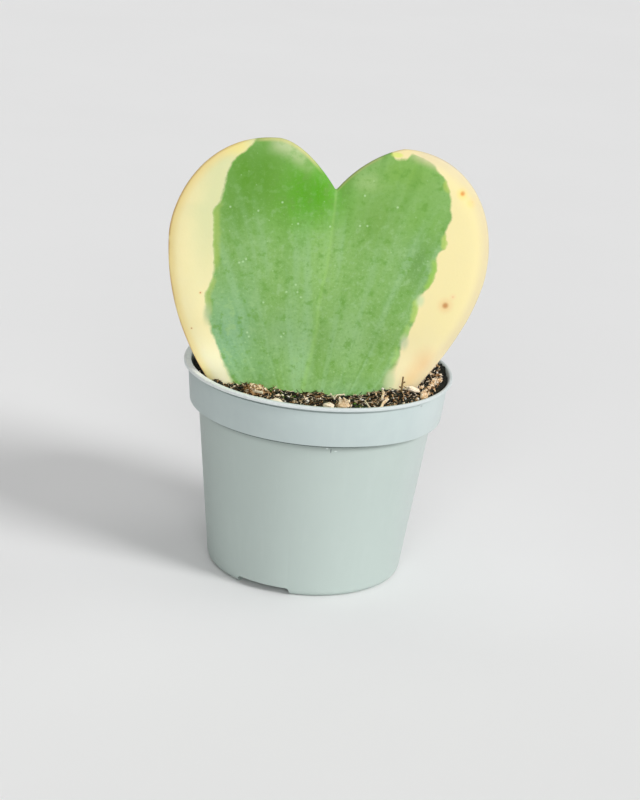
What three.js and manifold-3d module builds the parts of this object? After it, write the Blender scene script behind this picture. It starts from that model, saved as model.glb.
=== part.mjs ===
// A single heart-shaped hoya leaf rooted in a small round nursery pot.
// Millimetres, +Z up. The origin is on the pot's axis at the floor, and the front is towards -Y.

import * as THREE from 'three';
import { mergeVertices } from 'three/addons/utils/BufferGeometryUtils.js';
import Module from 'manifold-3d';

const wasm = await Module();
wasm.setup();

// Clearance kept between pieces that touch on the real plant
const gap = 0.3;

// Corners of one mesh that are nearer than this are one corner
const mergeDistance = 1e-4;

// Pot: a thin tapered cup with a wider band and a small lip at the top
const potHeight = 47.5;
const lipRadius = 30;
const lipInnerRadius = 28.8;
const lipHeight = 0.85;
const lipRounding = 0.3;
const bandTopRadius = 29.3;
const bandFootRadius = 28.5;
const bandDepth = 9.6;
const bodyTopRadius = 26.5;
const bodyFootRadius = 22.1;
const wallThickness = 0.8;
const footRounding = 1.5;
const footInnerRadius = 19.4;
const footDraft = 0.3;
const baseLift = 2;
const baseThickness = 1;
const potSegments = 60;
const roundingSteps = 2;

// Drainage: two low arches through the foot ring, and round holes in the raised base
const archHeight = 1.7;
const archWidthDegrees = 34;
const archBearingsDegrees = [247, 67];
const archOvershoot = 2;
const archSteps = 8;
const drainHoleCount = 6;
const drainHoleSides = 16;
const drainHoleRadius = 2.2;
const drainCircleRadius = 12.5;

// Potting mix: its level below the rim, the long swells on it, and its heaps and hollows
const mixLevelBelowRim = 2.5;
const mixSegments = 48;
const mixRings = 10;
const mixRoughness = 0.3;
const mixSwells = [
  { rise: 0.25, alongX: 0.42, alongY: 0.38 },
  { rise: 0.2, alongX: 0.9, alongY: -0.7 },
];
const mixHeaps = [
  { x: 19, y: -11, rise: 1.7, spread: 6 },
  { x: 27, y: 3, rise: 1.5, spread: 6 },
  { x: -26, y: -3, rise: 0.6, spread: 5 },
  { x: -15, y: -17, rise: 0.5, spread: 5 },
  { x: 3, y: -12, rise: -0.9, spread: 7 },
  { x: -8, y: 14, rise: 0.8, spread: 9 },
];

// Crumbs on the mix, flatter than they are wide
const crumbCount = 150;
const crumbRadiusSmallest = 0.8;
const crumbRadiusLargest = 2.1;
const crumbWidthShare = 0.8;
const crumbHeightShare = 0.7;
const crumbLift = 0.1;
const crumbSeed = 11;

// How far in and out the corners of crumbs and bark are moved, as shares of their radius
const lumpCornerLeast = 0.8;
const lumpCornerMost = 1.1;

// Leaf: outline in its own plane, with heights from the pot's rim and widths from its midrib
const leafCentre = new THREE.Vector2(0, 20);
const leafNotch = new THREE.Vector2(0.5, 41.8);
const leafFoot = new THREE.Vector2(0, -22);
const leafHalves = {
  left: {
    top: new THREE.Vector2(-12.7, 52.2),
    side: new THREE.Vector2(-34.6, 29.5),
    notchPull: new THREE.Vector2(-4.1, 48.5),
    topInPull: 3.6,
    topOutPull: 15.8,
    sideUpPull: 7.5,
    sideDownPull: 33.9,
    footPull: new THREE.Vector2(-3.2, -22),
  },
  right: {
    top: new THREE.Vector2(14.8, 51.6),
    side: new THREE.Vector2(35.2, 27.9),
    notchPull: new THREE.Vector2(6.3, 49.7),
    topInPull: 0.9,
    topOutPull: 10.2,
    sideUpPull: 15.8,
    sideDownPull: 21.7,
    footPull: new THREE.Vector2(3.2, -22),
  },
};
const leafHalfWidth = 34.4;
const leafThickness = 3.2;
const leafEdgeThickness = 1.1;
const leafMarginBend = 1.8;
const leafMarginPower = 2.4;
const leafSoilHalfWidth = 26;
const leafTopLean = 2;
const leafTwist = 0.6;
const leafForward = 10;
const leafYawDegrees = 6;
const leafOutlineSteps = 15;
const petioleRadius = 2.3;
const petioleTipRadius = 1.9;
const petioleTop = -15;
const petioleTip = -31;
const petioleSteps = 4;
const petioleSides = 16;

// Rings over the blade: how far out from the centre, and the share of the full thickness there
const bladeRings = [
  { reach: 0.35, share: 1 },
  { reach: 0.7, share: 1 },
  { reach: 0.9, share: 0.9 },
  { reach: 0.975, share: 0.7 },
  { reach: 1, share: leafEdgeThickness / leafThickness },
];

// Loose pieces that lie on the mix, each a bark fragment of its own
const barkPieces = [
  { name: 'bark_chip_right', at: [20.9, -11.2, 46.9], radii: [1.8, 1, 0.8], turnDegrees: 4, seed: 3 },
  { name: 'bark_lump_right', at: [23.5, -13.2, 46.2], radii: [1, 0.9, 1], turnDegrees: 30, seed: 5 },
  { name: 'bark_chip_front', at: [2.8, -23.6, 45.6], radii: [1.4, 1.1, 0.8], turnDegrees: -10, seed: 7 },
  { name: 'bark_lump_front', at: [5.9, -21.6, 45.7], radii: [1.5, 1.1, 1], turnDegrees: 25, seed: 9 },
  { name: 'bark_chip_left', at: [-8.4, -23.2, 45.5], radii: [1.6, 1, 0.7], turnDegrees: -18, seed: 13 },
  { name: 'bark_flake_left', at: [-13.4, -17.6, 45.9], radii: [2.7, 1.2, 0.9], turnDegrees: -24, seed: 17 },
];

// A dry stalk that stands in the mix in front of the leaf
const stalkFoot = new THREE.Vector3(18.3, -13, 43);
const stalkTip = new THREE.Vector3(18.5, -12.2, 50);
const stalkRadius = 0.35;
const stalkStubLength = 0.9;
const stalkStubPlaces = [
  { side: -1, along: 0.64 },
  { side: 1, along: 0.8 },
];

// Same numbers on every run, from a whole-number seed
function seededRandom(seed) {
  let state = seed;
  return function next() {
    state = (state * 48271) % 2147483647;
    return state / 2147483647;
  };
}

function toSolid(geometry) {
  const bare = geometry.clone();
  bare.deleteAttribute('normal');
  bare.deleteAttribute('uv');
  const merged = mergeVertices(bare, mergeDistance);
  const corners = [];
  for (let i = 0; i < merged.index.count; i += 3) {
    const [a, b, c] = [0, 1, 2].map((k) => merged.index.getX(i + k));
    if (a !== b && b !== c && c !== a) corners.push(a, b, c);
  }
  return new wasm.Manifold(new wasm.Mesh({
    numProp: 3,
    vertProperties: new Float32Array(merged.attributes.position.array),
    triVerts: new Uint32Array(corners),
  }));
}

function toGeometry(solid) {
  const mesh = solid.getMesh();
  const geometry = new THREE.BufferGeometry();
  geometry.setAttribute('position', new THREE.BufferAttribute(mesh.vertProperties, 3));
  geometry.setIndex(new THREE.BufferAttribute(mesh.triVerts, 1));
  geometry.computeVertexNormals();
  return geometry;
}

// A closed skin over rings of equal point count, from the centre of the first to the centre of the last
function skinOverRings(firstCentre, rings, lastCentre) {
  const count = rings[0].length;
  const points = [firstCentre, ...rings.flat(), lastCentre];
  const lastIndex = points.length - 1;
  const corners = [];
  for (let i = 0; i < count; i += 1) {
    const j = (i + 1) % count;
    corners.push(0, 1 + j, 1 + i);
    for (let ring = 0; ring + 1 < rings.length; ring += 1) {
      const lower = 1 + ring * count;
      const upper = lower + count;
      corners.push(lower + i, lower + j, upper + j);
      corners.push(lower + i, upper + j, upper + i);
    }
    const top = 1 + (rings.length - 1) * count;
    corners.push(top + i, top + j, lastIndex);
  }
  const geometry = new THREE.BufferGeometry().setFromPoints(points);
  geometry.setIndex(corners);
  return geometry;
}

// Pot

function bodyRadius(z) {
  return THREE.MathUtils.mapLinear(z, 0, potHeight - bandDepth, bodyFootRadius, bodyTopRadius);
}

function bandInnerRadius(z) {
  const stepTop = potHeight - bandDepth + wallThickness;
  return THREE.MathUtils.mapLinear(z, stepTop, potHeight, bandFootRadius - wallThickness, lipInnerRadius);
}

function potProfile() {
  const bandFoot = potHeight - bandDepth;
  const lipFoot = potHeight - lipHeight;
  const stepTop = bandFoot + wallThickness;
  const baseTop = baseLift + baseThickness;
  const profile = new THREE.Path();
  profile.moveTo(0, baseLift);
  profile.lineTo(footInnerRadius - footDraft, baseLift);
  profile.lineTo(footInnerRadius, 0);
  profile.lineTo(bodyFootRadius - footRounding, 0);
  profile.quadraticCurveTo(bodyFootRadius, 0, bodyRadius(footRounding), footRounding);
  profile.lineTo(bodyTopRadius, bandFoot);
  profile.lineTo(bandFootRadius - lipRounding, bandFoot);
  profile.quadraticCurveTo(bandFootRadius, bandFoot, bandFootRadius, bandFoot + lipRounding);
  profile.lineTo(bandTopRadius, lipFoot);
  profile.lineTo(lipRadius - lipRounding, lipFoot);
  profile.quadraticCurveTo(lipRadius, lipFoot, lipRadius, lipFoot + lipRounding);
  profile.quadraticCurveTo(lipRadius, potHeight, lipRadius - lipRounding, potHeight);
  profile.lineTo(lipInnerRadius + lipRounding, potHeight);
  profile.quadraticCurveTo(lipInnerRadius, potHeight, lipInnerRadius, potHeight - lipRounding);
  profile.lineTo(bandFootRadius - wallThickness, stepTop);
  profile.lineTo(bodyTopRadius - wallThickness, stepTop);
  profile.lineTo(bodyRadius(baseTop) - wallThickness, baseTop);
  profile.lineTo(0, baseTop);
  return profile.getPoints(roundingSteps);
}

function footArch(bearingDegrees) {
  const from = THREE.MathUtils.degToRad(bearingDegrees - archWidthDegrees / 2);
  const to = THREE.MathUtils.degToRad(bearingDegrees + archWidthDegrees / 2);
  const sector = new THREE.Shape();
  sector.absarc(0, 0, bodyFootRadius + archOvershoot, from, to, false);
  sector.absarc(0, 0, footInnerRadius - archOvershoot, to, from, true);
  const geometry = new THREE.ExtrudeGeometry(sector, {
    depth: archHeight * 2,
    bevelEnabled: false,
    curveSegments: archSteps,
  });
  return toSolid(geometry.translate(0, 0, -archHeight));
}

function drainHole(index) {
  const bearing = (index + 0.5) * 2 * Math.PI / drainHoleCount;
  const geometry = new THREE.CylinderGeometry(
    drainHoleRadius, drainHoleRadius, baseThickness * 3, drainHoleSides,
  );
  geometry.rotateX(Math.PI / 2);
  geometry.translate(
    drainCircleRadius * Math.cos(bearing),
    drainCircleRadius * Math.sin(bearing),
    baseLift + baseThickness / 2,
  );
  return toSolid(geometry);
}

function potGeometry() {
  const turned = new THREE.LatheGeometry(potProfile(), potSegments).rotateX(Math.PI / 2);
  let pot = toSolid(turned);
  for (const bearing of archBearingsDegrees) pot = pot.subtract(footArch(bearing));
  for (let i = 0; i < drainHoleCount; i += 1) pot = pot.subtract(drainHole(i));
  return toGeometry(pot);
}

// Leaf: one grown piece, blade and short stalk

function leafOutline() {
  const { left, right } = leafHalves;
  const outline = new THREE.Path();
  outline.moveTo(leafNotch.x, leafNotch.y);
  outline.bezierCurveTo(
    left.notchPull.x, left.notchPull.y, left.top.x + left.topInPull, left.top.y, left.top.x, left.top.y,
  );
  outline.bezierCurveTo(
    left.top.x - left.topOutPull, left.top.y,
    left.side.x, left.side.y + left.sideUpPull, left.side.x, left.side.y,
  );
  outline.bezierCurveTo(
    left.side.x, left.side.y - left.sideDownPull,
    left.footPull.x, left.footPull.y, leafFoot.x, leafFoot.y,
  );
  outline.bezierCurveTo(
    right.footPull.x, right.footPull.y,
    right.side.x, right.side.y - right.sideDownPull, right.side.x, right.side.y,
  );
  outline.bezierCurveTo(
    right.side.x, right.side.y + right.sideUpPull,
    right.top.x + right.topOutPull, right.top.y, right.top.x, right.top.y,
  );
  outline.bezierCurveTo(
    right.top.x - right.topInPull, right.top.y,
    right.notchPull.x, right.notchPull.y, leafNotch.x, leafNotch.y,
  );
  return outline.getPoints(leafOutlineSteps).slice(0, -1);
}

// How far back from its own plane the middle of the blade lies
function leafDepth(across, height) {
  const side = across / leafHalfWidth;
  const climb = THREE.MathUtils.clamp((height - leafFoot.y) / (leafHalves.left.top.y - leafFoot.y), 0, 1);
  const marginBend = leafMarginBend * Math.abs(side) ** leafMarginPower;
  return marginBend + leafTopLean * climb ** 2 - leafTwist * side * climb;
}

// The outline pushed out along its normals
function grownOutline(outline, growth) {
  const count = outline.length;
  return outline.map((point, i) => {
    const along = outline[(i + 1) % count].clone().sub(outline[(i + count - 1) % count]).normalize();
    return new THREE.Vector2(point.x + along.y * growth, point.y - along.x * growth);
  });
}

// Rings from the middle of the front face, round the margin, to the middle of the back face
function bladeSolid(growth) {
  const outline = grownOutline(leafOutline(), growth).reverse();
  const ring = ({ reach, share }, face) => outline.map((rim) => {
    const point = leafCentre.clone().lerp(rim, reach);
    const depth = leafDepth(point.x, point.y) + face * (share * leafThickness / 2 + growth);
    return new THREE.Vector3(point.x, depth, potHeight + point.y);
  });
  const middle = (face) => new THREE.Vector3(
    leafCentre.x,
    leafDepth(leafCentre.x, leafCentre.y) + face * (leafThickness / 2 + growth),
    potHeight + leafCentre.y,
  );
  const front = bladeRings.map((step) => ring(step, -1));
  const back = bladeRings.map((step) => ring(step, 1)).reverse();
  return toSolid(skinOverRings(middle(-1), [...front, ...back], middle(1)));
}

function petioleSolid(growth) {
  const tip = potHeight + petioleTip - growth;
  const profile = new THREE.Path();
  profile.moveTo(0, tip);
  profile.quadraticCurveTo(
    petioleTipRadius + growth, tip, petioleTipRadius + growth, tip + petioleTipRadius,
  );
  profile.lineTo(petioleRadius + growth, potHeight + leafFoot.y);
  profile.quadraticCurveTo(
    petioleRadius + growth, potHeight + petioleTop, 0, potHeight + petioleTop,
  );
  const turned = new THREE.LatheGeometry(profile.getPoints(petioleSteps), petioleSides).rotateX(Math.PI / 2);
  return toSolid(turned.translate(0, leafDepth(0, leafFoot.y), 0));
}

function leafSolid(growth) {
  const yaw = THREE.MathUtils.degToRad(leafYawDegrees);
  const place = new THREE.Matrix4().makeRotationZ(yaw).setPosition(0, -leafForward, 0);
  const solid = bladeSolid(growth).add(petioleSolid(growth));
  return toSolid(toGeometry(solid).applyMatrix4(place));
}

// Potting mix

function mixHeight(x, y) {
  let height = potHeight - mixLevelBelowRim;
  for (const swell of mixSwells) height += swell.rise * Math.sin(swell.alongX * x + swell.alongY * y);
  for (const heap of mixHeaps) {
    const away = Math.hypot(x - heap.x, y - heap.y) / heap.spread;
    height += heap.rise * Math.exp(-away * away);
  }
  return height;
}

function mixBodySolid() {
  const random = seededRandom(crumbSeed);
  const bearings = Array.from({ length: mixSegments }, (_, i) => i * 2 * Math.PI / mixSegments);
  const flatRing = (radius, z) => bearings.map((bearing) => (
    new THREE.Vector3(radius * Math.cos(bearing), radius * Math.sin(bearing), z)
  ));
  const baseTop = baseLift + baseThickness;
  const stepTop = potHeight - bandDepth + wallThickness;
  const rings = [
    flatRing(bodyRadius(baseTop) - wallThickness - gap, baseTop + gap),
    flatRing(bodyTopRadius - wallThickness - gap, stepTop + gap),
    flatRing(bandInnerRadius(stepTop) - gap, stepTop + gap),
  ];
  const edgeRadius = bandInnerRadius(potHeight - mixLevelBelowRim) - gap;
  for (let ring = 0; ring < mixRings; ring += 1) {
    const radius = edgeRadius * (1 - ring / mixRings);
    const roughness = ring === 0 ? 0 : mixRoughness * radius / edgeRadius;
    rings.push(bearings.map((bearing) => {
      const x = radius * Math.cos(bearing);
      const y = radius * Math.sin(bearing);
      return new THREE.Vector3(x, y, mixHeight(x, y) + roughness * (2 * random() - 1));
    }));
  }
  const foot = new THREE.Vector3(0, 0, baseTop + gap);
  const crown = new THREE.Vector3(0, 0, mixHeight(0, 0));
  return toSolid(skinOverRings(foot, rings, crown));
}

// A lump with uneven corners, from a regular many-sided ball of unit radius
function lumpGeometry(ball, radii, seed) {
  const random = seededRandom(seed);
  const lump = mergeVertices(ball.deleteAttribute('normal').deleteAttribute('uv'), mergeDistance);
  const corner = new THREE.Vector3();
  for (let i = 0; i < lump.attributes.position.count; i += 1) {
    const reach = THREE.MathUtils.lerp(lumpCornerLeast, lumpCornerMost, random());
    corner.fromBufferAttribute(lump.attributes.position, i).multiplyScalar(reach);
    lump.attributes.position.setXYZ(i, corner.x * radii[0], corner.y * radii[1], corner.z * radii[2]);
  }
  return lump;
}

// Crumbs keep clear of the leaf, the loose bark, the stalk and the pot's wall
function crumbHasRoom(x, y, radius) {
  const yaw = THREE.MathUtils.degToRad(leafYawDegrees);
  const across = x * Math.cos(yaw) + (y + leafForward) * Math.sin(yaw);
  const depth = -x * Math.sin(yaw) + (y + leafForward) * Math.cos(yaw) - leafDepth(across, 0);
  const besideLeaf = Math.abs(across) > leafSoilHalfWidth + radius;
  const clearOfLeaf = besideLeaf || Math.abs(depth) > leafThickness / 2 + gap + radius;
  const clearOfBark = barkPieces.every(({ at, radii }) => (
    Math.hypot(x - at[0], y - at[1]) > Math.max(...radii) + gap + radius
  ));
  const clearOfStalk = Math.hypot(x - stalkFoot.x, y - stalkFoot.y) > stalkRadius + 2 * gap + radius;
  const clearOfWall = Math.hypot(x, y) + radius < bandInnerRadius(potHeight - mixLevelBelowRim) - 2 * gap;
  return clearOfLeaf && clearOfBark && clearOfStalk && clearOfWall;
}

function crumbSolids() {
  const random = seededRandom(crumbSeed + 1);
  const crumbs = [];
  while (crumbs.length < crumbCount) {
    const bearing = 2 * Math.PI * random();
    const distance = lipInnerRadius * Math.sqrt(random());
    const radius = THREE.MathUtils.lerp(crumbRadiusSmallest, crumbRadiusLargest, random() ** 2);
    const turn = 2 * Math.PI * random();
    const x = distance * Math.cos(bearing);
    const y = distance * Math.sin(bearing);
    if (crumbHasRoom(x, y, radius)) {
      const radii = [radius, radius * crumbWidthShare, radius * crumbHeightShare];
      const lump = lumpGeometry(new THREE.OctahedronGeometry(1), radii, crumbs.length + 1).rotateZ(turn);
      crumbs.push(toSolid(lump.translate(x, y, mixHeight(x, y) + crumbLift)));
    }
  }
  return crumbs;
}

// Bark and stalk

function barkGeometry({ at, radii, turnDegrees, seed }, growth) {
  const grown = radii.map((radius) => radius + growth);
  const lump = lumpGeometry(new THREE.IcosahedronGeometry(1, 1), grown, seed);
  lump.rotateZ(THREE.MathUtils.degToRad(turnDegrees));
  return lump.translate(...at);
}

function stalkSolid(growth) {
  const middle = stalkFoot.clone().lerp(stalkTip, 0.5);
  middle.x += stalkRadius;
  const path = new THREE.CatmullRomCurve3([stalkFoot, middle, stalkTip]);
  const section = new THREE.Shape();
  section.absarc(0, 0, stalkRadius + growth, 0, 2 * Math.PI, false);
  const options = { steps: 4, curveSegments: 3, extrudePath: path };
  let stalk = toSolid(new THREE.ExtrudeGeometry(section, options));
  for (const { side, along } of stalkStubPlaces) {
    const from = path.getPoint(along);
    const to = from.clone().add(new THREE.Vector3(side * stalkStubLength, 0, stalkStubLength / 2));
    const stub = new THREE.ExtrudeGeometry(section, {
      steps: 1,
      curveSegments: 3,
      extrudePath: new THREE.LineCurve3(from, to),
    });
    stalk = stalk.add(toSolid(stub));
  }
  return stalk;
}

function mixGeometry() {
  let mix = mixBodySolid();
  for (const crumb of crumbSolids()) mix = mix.add(crumb);
  mix = mix.subtract(leafSolid(gap));
  mix = mix.subtract(stalkSolid(gap));
  for (const piece of barkPieces) mix = mix.subtract(toSolid(barkGeometry(piece, gap)));
  return toGeometry(mix);
}

// Finishes

const finishes = {
  pot: { name: 'pot_plastic', color: 0xb9c8c6, roughness: 0.55 },
  leaf: { name: 'leaf_skin', color: 0x7cb063, roughness: 0.45 },
  mix: { name: 'potting_mix', color: 0x2a211a, roughness: 1 },
  bark: { name: 'bark', color: 0xd3b08a, roughness: 0.9 },
  stalk: { name: 'dry_stalk', color: 0x7b6b4c, roughness: 0.9 },
};

const plant = new THREE.Group();

function addPiece(name, geometry, finish) {
  const piece = new THREE.Mesh(geometry, new THREE.MeshStandardMaterial({ ...finish, metalness: 0 }));
  piece.name = name;
  plant.add(piece);
}

addPiece('pot', potGeometry(), finishes.pot);
addPiece('potting_mix', mixGeometry(), finishes.mix);
addPiece('leaf', toGeometry(leafSolid(0)), finishes.leaf);
for (const bark of barkPieces) addPiece(bark.name, barkGeometry(bark, 0), finishes.bark);
addPiece('dry_stalk', toGeometry(stalkSolid(0)), finishes.stalk);

export default plant;
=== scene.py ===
import math
import random

import bmesh
import bpy
from mathutils import Euler, Matrix, Vector, geometry, kdtree, noise


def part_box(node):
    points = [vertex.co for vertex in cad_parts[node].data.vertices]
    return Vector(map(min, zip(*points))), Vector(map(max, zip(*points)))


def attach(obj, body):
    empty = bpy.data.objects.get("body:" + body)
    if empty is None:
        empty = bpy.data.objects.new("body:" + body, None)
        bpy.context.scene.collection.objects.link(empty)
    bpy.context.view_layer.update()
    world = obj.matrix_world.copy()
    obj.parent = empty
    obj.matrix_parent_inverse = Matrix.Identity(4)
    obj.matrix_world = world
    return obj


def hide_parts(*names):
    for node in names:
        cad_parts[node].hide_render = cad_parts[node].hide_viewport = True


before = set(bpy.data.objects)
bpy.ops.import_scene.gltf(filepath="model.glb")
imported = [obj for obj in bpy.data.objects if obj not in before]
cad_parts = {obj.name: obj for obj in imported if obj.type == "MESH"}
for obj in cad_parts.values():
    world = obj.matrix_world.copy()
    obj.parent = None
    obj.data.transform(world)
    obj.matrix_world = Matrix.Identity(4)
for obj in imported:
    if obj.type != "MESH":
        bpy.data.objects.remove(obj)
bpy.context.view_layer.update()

mm = 0.001
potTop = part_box("pot")[1]
rimHeight = potTop.z / mm


def clamp(value):
    return min(1.0, max(0.0, value))


# Helpers for objects

def addObject(name, data):
    made = bpy.data.objects.new(name, data)
    bpy.context.scene.collection.objects.link(made)
    return made


def makeActive(piece):
    bpy.ops.object.select_all(action="DESELECT")
    piece.select_set(True)
    bpy.context.view_layer.objects.active = piece


def currentPiece(name):
    piece = bpy.context.object
    piece.name = name
    piece.data.name = name
    bpy.ops.object.transform_apply(location=True, rotation=True, scale=True)
    return piece


def startEdit(piece, mode="FACE"):
    # Edit mode, with everything selected
    makeActive(piece)
    bpy.ops.object.mode_set(mode="EDIT")
    bpy.ops.mesh.select_mode(type=mode)
    bpy.ops.mesh.select_all(action="SELECT")


def endEdit():
    bpy.ops.object.mode_set(mode="OBJECT")


def fixNormals(piece):
    startEdit(piece)
    bpy.ops.mesh.remove_doubles(threshold=1e-7)
    bpy.ops.mesh.normals_make_consistent(inside=False)
    endEdit()


def applyModifier(piece, kind, **settings):
    makeActive(piece)
    modifier = piece.modifiers.new(kind.title(), kind)
    for key, value in settings.items():
        setattr(modifier, key, value)
    bpy.ops.object.modifier_apply(modifier=modifier.name)


def combine(piece, other, operation):
    applyModifier(piece, "BOOLEAN", object=other, operation=operation, solver="EXACT")
    bpy.data.objects.remove(other)


def smooth(piece, angle=35):
    makeActive(piece)
    bpy.ops.object.shade_smooth_by_angle(angle=math.radians(angle))


def setValues(piece, name, values):
    # One value for each corner, which the materials read by the name
    attribute = piece.data.attributes.new(name, "FLOAT", "POINT")
    attribute.data.foreach_set("value", values)


def setTone(piece, tone):
    setValues(piece, "tone", [tone] * len(piece.data.vertices))


def finishPiece(piece, material, slotName, *nodes):
    piece.data.materials.clear()
    piece.data.materials.append(material)
    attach(piece, "root")
    if nodes:
        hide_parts(*nodes)


# Helpers for materials. A new node goes into the tree that its inputs come from

def tint(red, green, blue):
    # From screen values of 0 to 255 to a linear colour
    return tuple(((level / 255 + 0.055) / 1.055) ** 2.4 for level in (red, green, blue)) + (1,)


def isSocket(value):
    return isinstance(value, bpy.types.NodeSocket)


def feed(socket, value):
    if isSocket(value):
        socket.id_data.links.new(value, socket)
    else:
        socket.default_value = value


def addNode(tree, kind, inputs=None, **settings):
    made = tree.nodes.new(kind)
    for key, value in settings.items():
        setattr(made, key, value)
    for key, value in (inputs or {}).items():
        feed(made.inputs[key], value)
    return made


def nextNode(kind, inputs, **settings):
    tree = next(value.id_data for value in inputs.values() if isSocket(value))
    return addNode(tree, kind, inputs, **settings)


def calc(operation, first, second=0.0):
    return nextNode("ShaderNodeMath", {0: first, 1: second}, operation=operation).outputs[0]


def product(first, *others):
    for other in others:
        first = calc("MULTIPLY", first, other)
    return first


def fade(value, start, end, low=0.0, high=1.0):
    limits = {0: value, 1: start, 2: end, 3: low, 4: high}
    return nextNode("ShaderNodeMapRange", limits, interpolation_type="SMOOTHSTEP").outputs[0]


def blend(factor, first, second, mode="MIX"):
    sides = {0: factor, 6: first, 7: second}
    return nextNode("ShaderNodeMix", sides, data_type="RGBA", blend_type=mode).outputs[2]


def between(factor, first, second):
    return blend(factor, tint(*first), tint(*second))


def paint(base, colour, *masks):
    # A colour laid over the base where the masks let it
    return blend(product(*masks), base, tint(*colour))


def ramp(value, stops):
    made = nextNode("ShaderNodeValToRGB", {0: value})
    line = made.color_ramp.elements
    while len(line) < len(stops):
        line.new(0.5)
    for element, (position, colour) in zip(line, stops):
        element.position = position
        element.color = tint(*colour)
    return made.outputs[0]


def grain(where, scale, detail=3.0, roughness=0.55):
    inputs = {"Vector": where, "Scale": scale, "Detail": detail, "Roughness": roughness}
    return nextNode("ShaderNodeTexNoise", inputs).outputs[0]


def vectorOf(x, y, z):
    return nextNode("ShaderNodeCombineXYZ", {0: x, 1: y, 2: z}).outputs[0]


def partsOf(where):
    return nextNode("ShaderNodeSeparateXYZ", {0: where}).outputs


def readValue(where, name):
    return addNode(where.id_data, "ShaderNodeAttribute", attribute_name=name).outputs["Fac"]


def softSpot(place, at, size, hard):
    # 1 in the middle of an oval, falling to 0 at its edge. A high hard keeps more of it at 1
    sideways, upward = (
        calc("DIVIDE", calc("SUBTRACT", value, middle), reach)
        for value, middle, reach in zip(place, at, size)
    )
    squares = calc("ADD", product(sideways, sideways), product(upward, upward))
    return fade(calc("SQRT", squares), 1.0, hard)


def addPatches(base, place, patches, hard, *masks):
    # Place, size, share and colour of each
    for at, size, share, colour in patches:
        base = paint(base, colour, softSpot(place, at, size, hard), share, *masks)
    return base


def addLayers(base, values, layers):
    # Colour and share of each, and the values that it follows, with the limits of their fades
    for colour, share, *fades in layers:
        masks = [fade(values[name], *limits) if limits else values[name] for name, *limits in fades]
        base = paint(base, colour, share, *masks)
    return base


def newMaterial(name, gloss, roughness=0.5, location=(0, 0, 0), turnDegrees=0):
    # Gives the material, its shader, and the place on it in millimetres
    material = bpy.data.materials.new(name)
    material.use_nodes = True
    tree = material.node_tree
    surface = tree.nodes["Principled BSDF"]
    surface.inputs["Specular IOR Level"].default_value = gloss
    surface.inputs["Roughness"].default_value = roughness
    inputs = {
        "Vector": addNode(tree, "ShaderNodeTexCoord").outputs["Object"],
        "Location": location,
        "Rotation": (0, 0, math.radians(turnDegrees)),
        "Scale": (mm, mm, mm),
    }
    where = addNode(tree, "ShaderNodeMapping", inputs, vector_type="TEXTURE").outputs[0]
    return material, surface, where


def cover(surface, colour, relief, depth, strength):
    # depth is the height of the relief, in millimetres
    feed(surface.inputs["Base Color"], colour)
    inputs = {"Height": relief, "Distance": depth * mm, "Strength": strength}
    feed(surface.inputs["Normal"], nextNode("ShaderNodeBump", inputs).outputs[0])


def makeMottleGroup():
    # Two sizes of soft mottling, for any surface that isn't quite even
    group = bpy.data.node_groups.new("mottle", "ShaderNodeTree")
    for name, kind in (("Where", "Vector"), ("Size", "Float"), ("Fine Share", "Float")):
        group.interface.new_socket(name=name, in_out="INPUT", socket_type="NodeSocket" + kind)
    group.interface.new_socket(name="Mottle", in_out="OUTPUT", socket_type="NodeSocketFloat")
    where, size, fineShare = group.nodes.new("NodeGroupInput").outputs[:3]
    coarse = grain(where, calc("DIVIDE", 1.0, size))
    fine = grain(where, calc("DIVIDE", 6.0, size), 2.0)
    mixed = calc("ADD", coarse, product(calc("SUBTRACT", fine, coarse), fineShare))
    feed(group.nodes.new("NodeGroupOutput").inputs["Mottle"], mixed)
    return group


mottleGroup = makeMottleGroup()


def mottle(where, size, fineShare=0.5):
    inputs = {"Where": where, "Size": size, "Fine Share": fineShare}
    return nextNode("ShaderNodeGroup", inputs, node_tree=mottleGroup).outputs["Mottle"]


# Camera, at the distance, height and roll that the rim and foot circles give

view = {
    "distance": 450.0,
    "elevation": 17.63,
    "roll": 4.94,
    "pixelsPerMillimetre": 4.444,
    # The middle of the rim in the picture
    "axisPixel": (319.5, 363.5),
    "image": (640, 800),
    "sensor": 36.0,
    "clip": (0.01, 50),
}


def makeCamera():
    rise = math.radians(view["elevation"])
    roll = math.radians(view["roll"])
    back = Vector((0, -math.cos(rise), math.sin(rise)))
    flatRight = Vector((1, 0, 0))
    flatUp = Vector((0, math.sin(rise), math.cos(rise)))
    right = flatRight * math.cos(roll) + flatUp * math.sin(roll)
    up = flatUp * math.cos(roll) - flatRight * math.sin(roll)
    focalPixels = view["pixelsPerMillimetre"] * view["distance"]
    across = view["image"][0] / 2 - view["axisPixel"][0]
    above = view["axisPixel"][1] - view["image"][1] / 2
    ahead = (-back + (right * across + up * above) / focalPixels).normalized()
    side = ahead.cross(up).normalized()
    data = bpy.data.cameras.new("photoCamera")
    data.sensor_width = view["sensor"]
    data.lens = focalPixels / max(view["image"]) * view["sensor"]
    data.clip_start, data.clip_end = view["clip"]
    camera = addObject("photoCamera", data)
    turn = Matrix((side, side.cross(ahead), -ahead)).transposed().to_4x4()
    place = Vector((0, 0, potTop.z)) + back * view["distance"] * mm
    camera.matrix_world = Matrix.Translation(place) @ turn
    bpy.context.scene.camera = camera


for spare in ("Cube", "Light", "Camera"):
    if spare in bpy.data.objects:
        bpy.data.objects.remove(bpy.data.objects[spare])
makeCamera()
print("camera placed")


# Pot

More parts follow.
